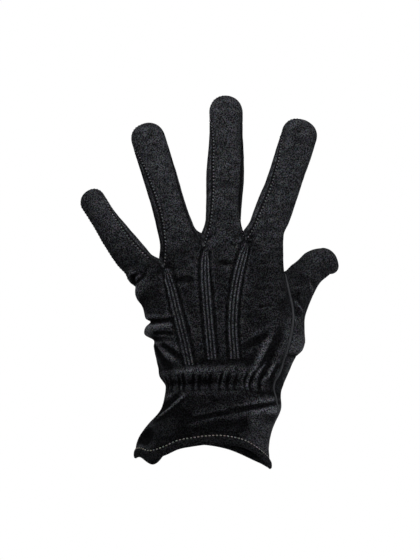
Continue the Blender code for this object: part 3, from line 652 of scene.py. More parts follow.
ROOT_RINGS = 10
ROOT_ROUNDS = 16
thumb_rings = add_thumb()
root = sorted({number for ring in thumb_rings[:ROOT_RINGS] for number in ring})
points = averaged(sheet.points, ROOT_ROUNDS, root)
print("facets with the thumb:", len(sheet.faces))


# %% [markdown]
# ## Folds of the worn cloth
# Cotton jersey has no stiffness to speak of, so it hangs in soft folds wherever nothing stretches it. A cloth
# simulation could find some, but not the ones in the photograph. A table of ridges and valleys can: each is
# a small bell-shaped lift at a place on the sleeve.

# %% Which way is out
def sheet_normals(points):
    """The outward way at each point: the mean of the facets round it, by size."""
    total = np.zeros_like(points)
    for count in (3, 4):
        faces = np.array([face for face in sheet.faces if len(face) == count])
        corners = points[faces]
        areas = np.cross(corners[:, 2] - corners[:, 0], corners[:, -1] - corners[:, 1])
        for corner in range(count):
            np.add.at(total, faces[:, corner], areas)
    lengths = np.linalg.norm(total, axis=1)
    return total / np.maximum(lengths, 1e-12)[:, None]


smooth_points = points.copy()
normals = sheet_normals(points)
print("points in the sheet:", len(points))

# %% Main folds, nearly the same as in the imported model
FOLD_DEPTH = 0.0030
FOLDS = table(
    "around up reach height slant lift",
    (0.03, 0.94, 0.09, 0.045, 1.30, -0.80),
    (0.00, 0.83, 0.14, 0.060, 0.40, 0.45),
    (0.00, 0.590, 0.16, 0.026, -0.20, -1.00),
    (0.00, 0.495, 0.13, 0.048, 0.10, 0.85),
    (0.05, 0.415, 0.13, 0.030, -0.10, -0.50),
    (0.11, 0.330, 0.13, 0.040, -1.05, -0.60),
    (0.50, 0.090, 0.36, 0.042, 0.00, 0.68),
    (0.50, 0.000, 0.42, 0.042, 0.00, -0.80),
    (0.90, 0.20, 0.045, 0.120, 1.60, -0.40),
    (0.84, 0.20, 0.035, 0.110, 1.60, 0.35),
    (0.99, -0.27, 0.16, 0.130, 0.15, 1.00),
    (0.80, -0.62, 0.34, 0.110, 0.35, -0.12),
    (0.145, -0.70, 0.075, 0.120, 0.00, -1.45),
    (0.17, -0.30, 0.10, 0.260, 0.00, -0.55),
    (0.02, -0.30, 0.14, 0.120, -0.40, -0.45),
    (1.50, -0.35, 0.30, 0.150, 0.00, 0.50),
    (1.45, -0.80, 0.10, 0.200, 0.00, -0.60),
)


def in_step_with(level, up):
    """A level in the measure of the palm above the wrist, or of the cuff below it, as the second has."""
    palms_per_cuff = CUFF_LENGTH / HAND_LENGTH
    if up >= 0 > level:
        return level * palms_per_cuff
    return level / palms_per_cuff if level > 0 > up else level


def fold_lift(level, around):
    """The main folds at a level, for places round the sleeve, outwards."""
    lift = np.zeros_like(around)
    for fold in FOLDS:
        side = (around - fold.around + 1.0) % 2.0 - 1.0
        rise = in_step_with(level, fold.up) - fold.up - fold.slant * side
        lift += fold.lift * FOLD_DEPTH * bell(side / fold.reach) * bell(rise / fold.height)
    return lift


# %% [markdown]
# ## Gathers at the wrist
# Elastic inside the back of the wrist draws the cloth together, so it stands in small uneven puckers above a
# deep groove. Even waves would look like a machine part. Here each pucker has its own width and depth, drawn
# with a fixed seed so that the glove comes out the same each time.

# %% Uneven puckers
PUCKER_DEPTH = 1.05 * MM
PUCKER_LEVEL = 0.010
PUCKER_REACH = 0.050
PUCKER_START = 0.10
PINCHES_END = 0.91
PINCH_WIDTH = (0.006, 0.011)
PINCH_DEPTH = (0.5, 1.4)
PINCH_SPACING = (0.028, 0.070)
PINCH_DRIFT = 0.06
PINCH_TURN = 61
DEEPEST_PINCH = -1.1
PUFF = 0.35
dice = random.Random(21)


def pucker_marks():
    """Where the pinches of the gathers lie round the back, how wide and how deep they are."""
    marks = []
    around = PUCKER_START
    while around < PINCHES_END:
        marks.append((around, dice.uniform(*PINCH_WIDTH), dice.uniform(*PINCH_DEPTH)))
        around += dice.uniform(*PINCH_SPACING)
    return marks


PINCHES = pucker_marks()


def pucker_lift(level, around):
    """The gathers: rounded puffs with narrow pinches between them."""
    spread = ease(0.0, PUCKER_START, around) * ease(0.0, PUCKER_START, 1.0 - around)
    above = in_step_with(level, PUCKER_LEVEL) - PUCKER_LEVEL
    near = bell(above / PUCKER_REACH)
    lift = np.full_like(around, PUFF)
    for place, width, depth in PINCHES:
        drift = PINCH_DRIFT * above * math.sin(PINCH_TURN * place)
        lift -= depth * bell((around - place - drift) / width)
    return np.where(around < 1.0, PUCKER_DEPTH * spread * near * np.maximum(lift, DEEPEST_PINCH), 0.0)


print("pinches in the gathers:", len(PINCHES))

# %% [markdown]
# ## The points, as furrows first
# Three groups of raised tucks run down the back. Sewing them pulls the cloth in along both sides, so the
# cloth gets a shallow furrow there before the tucks are laid on it.

# %% Where the points run, from the fork to the gathers, in millimetres across the back
POINTS = table(
    "name start end heights across",
    ("little_ring", 0.970, 0.130, (11, 26, 41, 53, 66), (-16.8, -20.0, -23.8, -26.8, -30.0)),
    ("ring_middle", 0.972, 0.160, (14, 33, 51, 65, 80), (-3.6, -5.4, -6.8, -7.7, -8.0)),
    ("middle_index", 0.972, 0.160, (14, 33, 51, 65, 81), (9.6, 8.4, 9.5, 11.9, 16.0)),
)
POINT_WIDTH = 0.0060
FURROW_DEPTH = 0.40 * MM
FURROW_WIDTH = 0.0060
FURROW_SIDE = 0.038
FURROW_FADE = 0.03
FURROW_START = 0.05
SEARCH_ROUNDS = 4
COLUMNS = np.arange(BACK_COLUMNS + 1)


def point_around(point, level):
    """Where a point's middle crosses a level."""
    row = int(np.argmin(np.abs(np.array(ROW_LEVELS) - level)))
    back = smooth_points[rows[row][:BACK_COLUMNS + 1]]
    column = BACK_COLUMNS / 2
    for _ in range(SEARCH_ROUNDS):
        height = level / ROW_LEVELS[row] * np.interp(column, COLUMNS, back[:, 2])
        across = smooth_column(point.heights, point.across, height / MM) * MM
        column = float(np.interp(across, back[:, 0], COLUMNS))
    return column / BACK_COLUMNS


def furrow_lift(level, around):
    """The furrows beside the points."""
    lift = np.zeros_like(around)
    for point in POINTS:
        inside = ease(point.end - FURROW_FADE, point.end + FURROW_FADE, level)
        inside *= ease(0, FURROW_START, point.start - level)
        side = np.abs(around - point_around(point, level)) - FURROW_SIDE
        lift -= inside * FURROW_DEPTH * bell(side / FURROW_WIDTH)
    return lift


# %% Lift the sleeve's rows
relief = np.zeros(len(points))
for row, level in zip(rows, ROW_LEVELS):
    relief[row] = fold_lift(level, AROUND) + pucker_lift(level, AROUND) + furrow_lift(level, AROUND)
points += normals * relief[:, None]

# %% [markdown]
# ## Creases
# Sharper creases are easier to place as lines seen from the front: two ends, a width and a height, in
# millimetres. A crease fades towards its ends and only touches cloth that faces the viewer.

# %% A table of creases on the back
CREASE_FACING = (0.05, 0.45)
CREASE_FADE = 0.3
CREASES = table(
    "x0 z0 x1 z1 width lift",
    (-50.5, 58.8, -42.0, 66.0, 1.1, -0.75),
    (-41.0, 36.0, -23.0, 39.0, 1.0, -0.60),
    (-40.0, 33.3, -26.0, 34.4, 1.5, 0.55),
    (-40.0, 30.4, -24.5, 29.6, 1.0, -0.85),
    (-36.0, 25.5, -18.0, 12.0, 1.7, -0.95),
    (-37.0, 21.0, -24.0, 12.0, 1.5, 0.20),
    (-28.0, 61.0, -13.0, 62.6, 2.2, -0.45),
    (-4.0, 72.0, 17.0, 71.0, 2.0, -0.28),
    (33.5, 31.0, 11.0, 19.0, 2.6, -0.75),
    (22.5, 45.0, 32.0, 46.3, 0.7, -0.30),
    (20.5, 2.0, 30.0, 15.8, 0.8, 0.60),
    (24.0, 1.5, 31.0, 12.5, 0.9, -0.65),
    (27.0, 1.0, 33.0, 12.0, 0.8, 0.60),
    (30.0, 1.5, 35.8, 13.0, 0.9, -0.65),
    (33.0, 1.5, 39.0, 13.5, 0.8, 0.50),
    (42.0, -10.0, 4.0, -17.0, 1.5, -1.15),
    (10.0, -16.4, -20.0, -22.4, 1.5, -0.90),
    (38.0, -15.5, 0.0, -21.5, 2.0, 0.22),
    (-17.0, -5.2, -39.0, -22.5, 0.8, 0.70),
    (-20.0, -3.4, -38.0, -17.5, 1.6, -0.60),
    (-34.0, -11.0, -12.0, -24.0, 6.5, -0.60),
    (15.0, -21.0, 33.0, -27.0, 5.0, 0.60),
    (45.0, 51.6, 51.0, 43.0, 0.7, 0.30),
    (54.5, 63.6, 57.0, 55.2, 0.8, 0.22),
    (43.0, 44.0, 47.0, 36.0, 0.7, 0.25),
)


def crease_lift(points, normals):
    """The creases' height at every point of the sheet."""
    facing = ease(*CREASE_FACING, -normals[:, 1])
    plane = points[:, [0, 2]] / MM
    lift = np.zeros(len(points))
    for crease in CREASES:
        start = np.array([crease.x0, crease.z0])
        along = np.array([crease.x1, crease.z1]) - start
        length = np.linalg.norm(along)
        run = (plane - start) @ along / length
        across = (plane - start) @ np.array([-along[1], along[0]]) / length
        fade = ease(0.0, CREASE_FADE * length, run) * ease(0.0, CREASE_FADE * length, length - run)
        lift += crease.lift * MM * fade * bell(across / crease.width) * facing
    return lift


relief += crease_lift(points, normals)
print("creases:", len(CREASES))

# %% [markdown]
# ## Puckered forks and limp cloth
# The cloth is pinched where a fork's corner is sewn, so short wrinkles fan out below each fork. Everywhere
# else the jersey is slightly uneven. Two scales of smooth noise give that: a wide, low swell and a finer
# ripple. They are far smaller than the folds, but without them the light slides off the cloth as if wet.

# %% Fork wrinkles and small unevenness
FAN_WRINKLES = 7
FAN_HEIGHT = 0.10 * MM
FAN_RADIUS = 4.5 * MM
FAN_REACH = 2.6 * MM
FAN_SHIFT = 40
FAN_UNEVEN = 0.45
SWELL_HEIGHT = 0.22 * MM
SWELL_SCALE = 75
RIPPLE_HEIGHT = 0.11 * MM
RIPPLE_SCALE = np.array([160, 160, 330])


def fan_lift(points):
    """Short wrinkles that fan out from the corners of the forks, on the back and on the palm."""
    lift = np.zeros(len(points))
    for fork in FORKS:
        for corner in (fork_line(fork)[0], fork_line(fork)[-1]):
            away = points - corner
            radius = np.linalg.norm(away, axis=1)
            turn = np.arctan2(away[:, 2], away[:, 0])
            phase = FAN_SHIFT * corner[0] / HAND_LENGTH
            height = FAN_HEIGHT * (1 - FAN_UNEVEN + FAN_UNEVEN * np.cos(2 * turn - phase))
            height *= bell((radius - FAN_RADIUS) / FAN_REACH)
            lift += height * np.cos(FAN_WRINKLES * turn + phase)
    return lift


def uneven_lift(points):
    """A wide swell and a fine ripple of the limp cloth."""
    lift = np.zeros(len(points))
    for k, place in enumerate(points):
        swell = noise.noise(Vector(place) * SWELL_SCALE)
        ripple = noise.noise(Vector(place * RIPPLE_SCALE))
        lift[k] = SWELL_HEIGHT * swell + RIPPLE_HEIGHT * ripple
    return lift


relief += fan_lift(points) + uneven_lift(points)
points = smooth_points + normals * relief[:, None]

# %% [markdown]
# ## Ridges and valleys
# On worn black cotton the ridges are a little dusty and faded, and on top of that the colour paints light and
# shade: the valleys get painted shade and the ridges painted light. To paint that, each point gets a number:
# how far it stands above the cloth round it. Averaging the lifts with the neighbours' lifts again and again
# gives the level of the cloth round a point. A few rounds bring out fine wrinkles and many rounds bring out
# broad folds, so both are added. A table paints whole parts lighter or darker, as the light falls on them:
# the fingers, the thumb, its root and the right of the cuff's back lighter, the cuff darker. Each row has a
# place as steps along x, y and z, in metres. Close to a fork a painted shadow darkens the cloth.

# %% Find the ridges and the valleys
# The numbers below paint shade in the valleys and light on the ridges, over a little dust on the ridges.
FINE_ROUNDS = 10
BROAD_ROUNDS = 70
FINE_CONTRAST = 0.40 * MM
BROAD_CONTRAST = 2.30 * MM
PLAIN_CREST = 0.28
# Painted light and shade on whole parts of the glove, as the light falls on them.
LIGHT_AND_SHADE_ZONES = table(
    "name wear x y z",
    ("fingers", 0.195, None, None, (0.066, 0.094)),
    ("cuff", -0.17, None, None, (0.004, -0.020)),
    ("right of the cuff's back", 0.48, (0.008, 0.026), (0.006, -0.006), (-0.013, -0.023)),
    ("thumb", 0.09, (0.046, 0.056), None, (0.095, 0.080)),
    ("thumb's root", 0.34, (0.036, 0.043), None, (0.050, 0.022)),
)
FORK_SHADOW = 0.34
FORK_SHADOW_REACH = 5.0 * MM
# The crest number: painted shade in the valleys, painted light and a little dust on the ridges.
fine = (relief - averaged(relief, FINE_ROUNDS)) / FINE_CONTRAST
broad = (relief - averaged(relief, BROAD_ROUNDS)) / BROAD_CONTRAST
crest = PLAIN_CREST + fine + broad
for zone in LIGHT_AND_SHADE_ZONES:
    share = np.full(len(points), zone.wear)
    for axis, step in enumerate((zone.x, zone.y, zone.z)):
        if step:
            share *= ease(*step, points[:, axis])
    crest += share
for fork in FORKS:
    away = np.linalg.norm(points - fork_line(fork)[0], axis=1)
    crest -= FORK_SHADOW * bell(away / FORK_SHADOW_REACH)
crest = np.clip(crest, 0.0, 1.0)
print("share of the cloth in valleys:", round(float((crest < 0.3).mean()), 3))

# %% [markdown]
# ## Cutting and sewing the panels
# A real seam is sewn inside out and turned, so each edge rolls inwards and the two rolls make a groove. Here
# every panel's edge goes down a quarter circle into the seam line, where it meets its neighbour. The roll is
# real geometry: a bump map would not show at the outline or in the exported mesh.

# %% Rolled edges
WALL = 0.0010
ROLL = 0.75 * MM
ROLL_DEPTH = 0.85 * MM
ROLL_STEPS = (0, 28, 58, 90)
ROLL_MARK = (0.0, 0.35, 1.0, 0.25)
# The rolls are painted almost black: painted shade in the seam's groove.
ROLL_CREST = (0.0, 0.0, 0.0, 0.05)
# Cloth next to a seam is painted darker, a painted shade line along the groove. The fourchettes' strips face
# away from the lamps and are painted lighter instead.
SEAM_SHADE = 0.50
STRIP_SHADE = 1.55
# The side seams below the fingers get scuffing plus a painted highlight along their rolls, the finger seams
# only a little scuffing.
SIDE_SEAM_WEAR_AND_HIGHLIGHT = 1.9
FINGER_SEAM_WEAR = 0.1
ROLL_ROOM = 0.62
LEAST_ROLL = 0.45
MITRE_LIMIT = 2.5


def rim_edges(faces):
    """The edges that only one of the faces has, each in the direction of that face."""
    edges = {edge for face in faces for edge in edges_of(face)}
    return [(here, there) for here, there in sorted(edges) if (there, here) not in edges]


def rim_ways(rim):
    """The way into the panel at each rim point, mitred so that the roll keeps its width."""
    ways = {}
    for here, there in rim:
        for number in (here, there):
            inwards = np.cross(normals[number], points[there] - points[here])
            ways[number] = ways.get(number, 0) + inwards / max(np.linalg.norm(inwards), 1e-12)
    lengths = {number: np.linalg.norm(way) for number, way in ways.items()}
    return {n: way / lengths[n] * min(2 / lengths[n], MITRE_LIMIT) for n, way in ways.items()}


def rim_room(faces, on_rim):
    """How far each rim point may move before it reaches the next point of the panel."""
    room = {}
    for face in faces:
        for here, there in edges_of(face):
            if (here in on_rim) != (there in on_rim):
                number = here if here in on_rim else there
                length = np.linalg.norm(points[here] - points[there])
                room[number] = min(room.get(number, 1.0), length)
    return room


# %% A panel with rolled edges and the cloth's thickness
def panel_points(faces, rim):
    """The panel's points: outside, inside and the rolls, with the number of each."""
    used = sorted({number for face in faces for number in face})
    ways = rim_ways(rim)
    room = rim_room(faces, ways)
    places = []
    rolls = {}
    for number in ways:
        reach = min(ROLL, ROLL_ROOM * room.get(number, FACET))
        depth = ROLL_DEPTH * max(LEAST_ROLL, reach / ROLL)
        rolls[number] = range(len(places), len(places) + len(ROLL_STEPS))
        for degrees in ROLL_STEPS:
            turn = math.radians(degrees)
            inwards = ways[number] * reach * (1 - math.cos(turn))
            places.append(points[number] + inwards - normals[number] * depth * (1 - math.sin(turn)))
    outer = {number: rolls[number][-1] for number in ways}
    for number in used:
        if number not in outer:
            outer[number] = len(places)
            places.append(points[number])
    inner = {number: len(places) + k for k, number in enumerate(used)}
    places += [points[number] - normals[number] * WALL for number in used]
    return places, rolls, outer, inner


def panel_shell(faces, weaves, rim, rolls, outer, inner):
    """The panel's facets and their places in the cloth."""
    shell = [tuple(outer[number] for number in face) for face in faces]
    cloth = list(weaves)
    shell += [tuple(inner[number] for number in reversed(face)) for face in faces]
    cloth += [tuple(reversed(weave)) for weave in weaves]
    marks = {}
    for face, weave in zip(faces, weaves):
        for k, edge in enumerate(edges_of(face)):
            marks[edge] = (weave[k], weave[(k + 1) % len(face)])
    for here, there in rim:
        start, end = marks[(here, there)]
        for low, high in zip([inner, *range(len(ROLL_STEPS))], range(len(ROLL_STEPS))):
            below = (inner[here], inner[there]) if low is inner else (rolls[here][low], rolls[there][low])
            shell.append((*below, rolls[there][high], rolls[here][high]))
            cloth.append((start, end, end, start))
    return shell, cloth


# %% Turn points and facets into a piece
def add_piece(name, places, faces, finish, weave=None, rubbed=None, crest=None):
    """A smooth mesh with a UV map of its place in the cloth, and attributes for scuffs with painted highlight
    and for painted shade.
    """
    mesh = bpy.data.meshes.new(name)
    mesh.from_pydata([tuple(place) for place in places], [], faces)
    if weave:
        layer = mesh.uv_layers.new(name="weave")
        flat = [value for face in weave for corner in face for value in corner]
        layer.data.foreach_set("uv", flat)
    for label, values, plain in (("rubbed", rubbed, 0.0), ("crest", crest, 0.5)):
        values = np.full(len(places), plain) if values is None else np.asarray(values)
        mesh.attributes.new(label, "FLOAT", "POINT").data.foreach_set("value", values.astype(np.float32))
    mesh.shade_smooth()
    mesh.materials.append(finish)
    piece = bpy.data.objects.new(name, mesh)
    bpy.context.scene.collection.objects.link(piece)
    return piece


def into_glove(piece, slot, *nodes):
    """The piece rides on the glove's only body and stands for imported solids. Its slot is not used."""
    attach(piece, "root")
    if nodes:
        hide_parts(*nodes)
    print(piece.name, "has", len(piece.data.polygons), "facets")


# %% [markdown]
# ## Finishes
# Five finishes make the glove: jersey, the jersey of the tucks, grey and pale sewing thread, and elastic. All
# of them are spun cotton or cotton over rubber, so they share two effects. One is the knit: columns of small
# V-shaped loops. The other is the fleck: fibres of slightly different black, and lint. Each effect is a node
# group, built once and used in each material with its own values.

# %% Small helpers for nodes
def feed(tree, node, inputs):
    """Gives a node's inputs their values or links."""
    for key, value in inputs.items():
        if isinstance(value, bpy.types.NodeSocket):
            tree.links.new(value, node.inputs[key])
        else:
            node.inputs[key].default_value = value


def add_node(tree, kind, inputs=None, **settings):
    """A node with its settings, and with values or links for its inputs."""
    node = tree.nodes.new(kind)
    for key, value in settings.items():
        setattr(node, key, value)
    feed(tree, node, inputs or {})
    return node


def maths(tree, operation, *values):
    """A Math node's result."""
    return add_node(tree, "ShaderNodeMath", dict(enumerate(values)), operation=operation).outputs[0]


def vectors(tree, operation, inputs):
    """A Vector Math node's result."""
    return add_node(tree, "ShaderNodeVectorMath", inputs, operation=operation).outputs[0]


def noise_node(tree, place, scale, detail=2.0, roughness=0.5):
    """A Noise Texture node's outputs."""
    inputs = {"Vector": place, "Scale": scale, "Detail": detail, "Roughness": roughness}
    return add_node(tree, "ShaderNodeTexNoise", inputs).outputs


def new_group(name, takes, gives):
    """An empty node group with named inputs and outputs."""
    group = bpy.data.node_groups.new(name, "ShaderNodeTree")
    for label, kind, value in takes:
        socket = group.interface.new_socket(name=label, in_out="INPUT", socket_type=kind)
        socket.default_value = value
    for label, kind in gives:
        group.interface.new_socket(name=label, in_out="OUTPUT", socket_type=kind)
    return group, group.nodes.new("NodeGroupInput"), group.nodes.new("NodeGroupOutput")


# %% The knit, as a node group
WANDER_SCALE = 0.6
LOOP_DEPTH = 0.35


def knit_group():
    """Columns of V-shaped loops. It takes a place in the cloth and gives the height of the yarn."""
    number = "NodeSocketFloat"
    takes = [("Cloth", "NodeSocketVector", (0, 0, 0)), ("Loop size", number, 0.001), ("Wander", number, 0.2)]
    group, inside, outside = new_group("knit", takes, [("Height", number)])
    scale = maths(group, "DIVIDE", 1.0, inside.outputs["Loop size"])
    scaled = vectors(group, "SCALE", {0: inside.outputs["Cloth"], "Scale": scale})
    stray = noise_node(group, scaled, WANDER_SCALE)["Fac"]
    parts = add_node(group, "ShaderNodeSeparateXYZ", {0: scaled}).outputs
    shift = maths(group, "MULTIPLY", stray, inside.outputs["Wander"])
    across = maths(group, "ADD", parts[0], shift)
    along = maths(group, "ADD", parts[1], shift)
    side = maths(group, "ABSOLUTE", maths(group, "SUBTRACT", maths(group, "FRACT", across), 0.5))
    slant = maths(group, "ADD", along, side)
    leg = maths(group, "SINE", maths(group, "MULTIPLY", side, 2 * math.pi))
    loop = maths(group, "COSINE", maths(group, "MULTIPLY", slant, 2 * math.pi))
    yarn = maths(group, "MULTIPLY_ADD", loop, LOOP_DEPTH, 1 - LOOP_DEPTH)
    feed(group, outside, {"Height": maths(group, "MULTIPLY", leg, yarn)})
    return group


# %% The fleck, as a node group
MOTTLE_SCALE = 95.0
LINT_SCALE = 1400.0
TINT_SPREAD = 1.3
TINT_START = 0.35


def fleck_group():
    """Fibres and lint. It gives a speckle, a soft mottle, a fine fuzz height and a tint."""
    number, vector = "NodeSocketFloat", "NodeSocketVector"
    takes = [("Place", vector, (0, 0, 0)), ("Fibre size", number, 0.001), ("Contrast", number, 1.0)]
    gives = [("Speckle", number), ("Mottle", number), ("Fuzz", number), ("Tint", vector)]
    group, inside, outside = new_group("fleck", takes, gives)
    place = inside.outputs["Place"]
    scale = maths(group, "DIVIDE", 1.0, inside.outputs["Fibre size"])
    fine = noise_node(group, place, scale, 1.0, 0.6)["Fac"]
    slow = noise_node(group, place, MOTTLE_SCALE, 3.0)["Fac"]
    dyed = {0: noise_node(group, place, LINT_SCALE)["Color"], 1: (TINT_SPREAD,) * 3, 2: (TINT_START,) * 3}
    strong = maths(group, "MULTIPLY", maths(group, "SUBTRACT", fine, 0.5), inside.outputs["Contrast"])
    spread = add_node(group, "ShaderNodeMath", {0: strong, 1: 0.5}, operation="ADD", use_clamp=True)
    feed(group, outside, {
        "Speckle": maths(group, "POWER", spread.outputs[0], 2.0),
        "Mottle": slow,
        "Fuzz": fine,
        "Tint": vectors(group, "MULTIPLY_ADD", dyed),
    })
    return group


KNIT = knit_group()
FLECK = fleck_group()
print("node groups:", KNIT.name, FLECK.name)

# %% [markdown]
# The cotton material puts both groups together. The speckle runs from near black to a dusty grey. The ridges'
# number paints shade in the valleys and light, with a little dust, on the ridges. Rolled edges catch a little
# scuffing, and along the side seams an attribute also paints a highlight. Roughness is high and there is
# almost no shine, because black cotton is matt and its edges go dark.

# %% Cloth materials
JET = (0.0050, 0.0052, 0.0060)
GREY = (0.38, 0.385, 0.40)
PALE = (0.62, 0.60, 0.56)
RUBBER = (0.030, 0.030, 0.033)
CLOTHS = table(
    "name dark light edge loop fibre bump contrast",
    ("black_jersey", JET, (0.066, 0.068, 0.076), (0.085, 0.088, 0.096), 0.00080, 0.00064, 0.45, 12.0),
    # The tucks' jersey is the same cloth painted darker, which softens the painted light on their humps.
    ("black_tuck", JET, (0.050, 0.052, 0.058), (0.070, 0.073, 0.080), 0.00080, 0.00064, 0.45, 12.0),
    ("grey_thread", (0.040, 0.041, 0.045), GREY, GREY, 0.00035, 0.0006, 0.35, 2.0),
    ("pale_thread", (0.20, 0.195, 0.18), PALE, PALE, 0.00035, 0.0006, 0.35, 2.0),
    ("black_elastic", (0.006, 0.006, 0.007), RUBBER, RUBBER, 0.0012, 0.0012, 0.60, 3.0),
)
WANDER = 0.45
YARN_SHADE = (0.40, 0.62)
MOTTLE_SHADE = (0.9, 0.55)
# How strongly the crest number paints light and shade.
CREST_POWER = 1.7
CREST_SHADE = (2.3, 0.15)
ROUGHNESS = 0.95
SHINE = 0.02
YARN_HEIGHT = 0.25 * MM


def mixed(tree, share, first, second):
    """A blend of two colours, each a socket or three numbers."""
    first, second = ((*way, 1.0) if isinstance(way, tuple) else way for way in (first, second))
    return add_node(tree, "ShaderNodeMix", {0: share, 6: first, 7: second}, data_type="RGBA").outputs[2]


def new_material(name):
    """An empty material, its node tree and its shader."""
    made = bpy.data.materials.new(name)
    made.use_nodes = True
    return made, made.node_tree, made.node_tree.nodes["Principled BSDF"]


def cloth_material(cloth):
    """A matt cotton finish with knit, flecks, scuffed edges and painted light and shade."""
    made, tree, shader = new_material(cloth.name)
    weave = add_node(tree, "ShaderNodeUVMap", uv_map="weave").outputs[0]
    place = add_node(tree, "ShaderNodeTexCoord").outputs["Object"]
    knits = {"Cloth": weave, "Loop size": cloth.loop, "Wander": WANDER}
    flecks = {"Place": place, "Fibre size": cloth.fibre, "Contrast": cloth.contrast}
    knit = add_node(tree, "ShaderNodeGroup", knits, node_tree=KNIT)
    fleck = add_node(tree, "ShaderNodeGroup", flecks, node_tree=FLECK)
    height, mottle = knit.outputs["Height"], fleck.outputs["Mottle"]
    yarn = maths(tree, "MULTIPLY_ADD", height, *YARN_SHADE)
    patch = maths(tree, "MULTIPLY_ADD", mottle, *MOTTLE_SHADE)
    speckle = maths(tree, "MULTIPLY", maths(tree, "MULTIPLY", fleck.outputs["Speckle"], yarn), patch)
    fibres = {0: mixed(tree, speckle, cloth.dark, cloth.light), 1: fleck.outputs["Tint"]}
    # The crest number paints shade in the valleys and light on the ridges.
    crest = add_node(tree, "ShaderNodeAttribute", attribute_name="crest").outputs["Fac"]
    shade = maths(tree, "MULTIPLY_ADD", maths(tree, "POWER", crest, CREST_POWER), *CREST_SHADE)
    base = vectors(tree, "SCALE", {0: vectors(tree, "MULTIPLY", fibres), "Scale": shade})
    # Scuffed edges, and a painted highlight along the side seams.
    rubbed = add_node(tree, "ShaderNodeAttribute", attribute_name="rubbed").outputs["Fac"]
    relief = maths(tree, "ADD", height, fleck.outputs["Fuzz"])
    bumps = {"Height": relief, "Strength": cloth.bump, "Distance": YARN_HEIGHT}
    feed(tree, shader, {
        "Base Color": mixed(tree, maths(tree, "MULTIPLY", rubbed, mottle), base, cloth.edge),
        "Normal": add_node(tree, "ShaderNodeBump", bumps).outputs[0],
        "Roughness": ROUGHNESS,
        "Specular IOR Level": SHINE,
    })
    return made


FINISH = {cloth.name: cloth_material(cloth) for cloth in CLOTHS}
print("finishes:", list(FINISH))

# %% [markdown]
# ## Sew the panels
# Six panels of cloth: the back, the palm, three fourchettes and the thumb.

# %% Make each panel
RIMS = {}


def add_panel(name):
    """Cuts one panel out of the sheet and gives it rolled edges."""
    chosen = [k for k, panel in enumerate(sheet.panels) if panel == name]
    faces = [sheet.faces[k] for k in chosen]
    rim = rim_edges(faces)
    RIMS[name] = rim
    sewn = {number for edge in RIMS["back_panel"] for number in edge}
    side_seams = sewn & {number for row in rows[1:] for number in row}
    places, rolls, outer, inner = panel_points(faces, rim)
    shell, weave = panel_shell(faces, [sheet.weave[k] for k in chosen], rim, rolls, outer, inner)
    rubbed = np.zeros(len(places))
    height = np.full(len(places), 0.5)
    # Painted shade beside the seams of the back, palm and thumb; painted light on the fourchettes' strips.
    shade = STRIP_SHADE if name.startswith("fourchette") else SEAM_SHADE
    beside = {number for face in faces if set(face) & rolls.keys() for number in face} - rolls.keys()
    for number, place in outer.items():
        height[place] = min(1.0, crest[number] * (shade if number in beside else 1.0))
    for number, roll in rolls.items():
        # The rolls get the painted shade of the groove.
        height[roll[0]:roll[-1] + 1] = ROLL_CREST
        # Scuffing on all rolls; on the side seams it also paints a highlight.
        share = SIDE_SEAM_WEAR_AND_HIGHLIGHT if number in side_seams else FINGER_SEAM_WEAR
        rubbed[roll[0]:roll[-1] + 1] = np.array(ROLL_MARK) * share
    piece = add_piece(f"{name}_cloth", places, shell, FINISH["black_jersey"], weave, rubbed, height)
    into_glove(piece, "cotton", name)


for name in dict.fromkeys(sheet.panels):
    add_panel(name)

# %% [markdown]
# ## The turned hem
# The cuff's edge is folded up inside and stitched, which makes a thicker band with a rounded lower edge. Its
# outline is a short list of places, as shares of its thickness (inwards) and of its height (downwards). The
# outline is swept round the cuff, and it swells and thins a little, as a sewn hem does.

# %% Sweep the hem
HEM_HEIGHT = 0.0045
HEM_THICKNESS = 0.0022
# One even crest number for the hem band: its share of painted light and shade.
HEM_CREST = 0.27
HEM_SWELL = 0.25
HEM_WAVES = (0.9, 0.23)
HEM_OUTLINE = [(0.05, -0.03), (-0.06, 0.06), (-0.12, 0.2), (-0.14, 0.42), (-0.11, 0.65), (-0.02, 0.84)]
HEM_OUTLINE += [(0.18, 0.97), (0.42, 1.0), (0.66, 0.98), (0.88, 0.85), (1.0, 0.65), (1.0, 0.3), (1.0, 0.0)]


def folded_ring(level):
    """A ring of the sleeve with its folds, lifted straight outwards."""
    ring = sleeve_row(level)
    out = (ring - ring.mean(axis=0)) * (1, 1, 0)
    return ring + unit(out) * fold_lift(level, AROUND)[:, None]


def sweep(outlines, closed):
    """Points and facets of a solid swept through matching outlines, as a ring or with flat ends."""
    count = len(outlines[0])
    places = [place for outline in outlines for place in outline]
    faces = []
    for row in range(len(outlines) if closed else len(outlines) - 1):
        here, above = row * count, (row + 1) % len(outlines) * count
        for step in range(count):
            beside = (step + 1) % count
            faces.append((here + step, here + beside, above + beside, above + step))
    if not closed:
        last = len(places) - count
        faces += [tuple(range(count))[::-1], tuple(range(last, last + count))]
    return places, faces


def sweep_weave(faces, count, pitch):
    """The place in the cloth of a swept solid's facets."""
    return [tuple((number // count * pitch, number % count * pitch) for number in face) for face in faces]


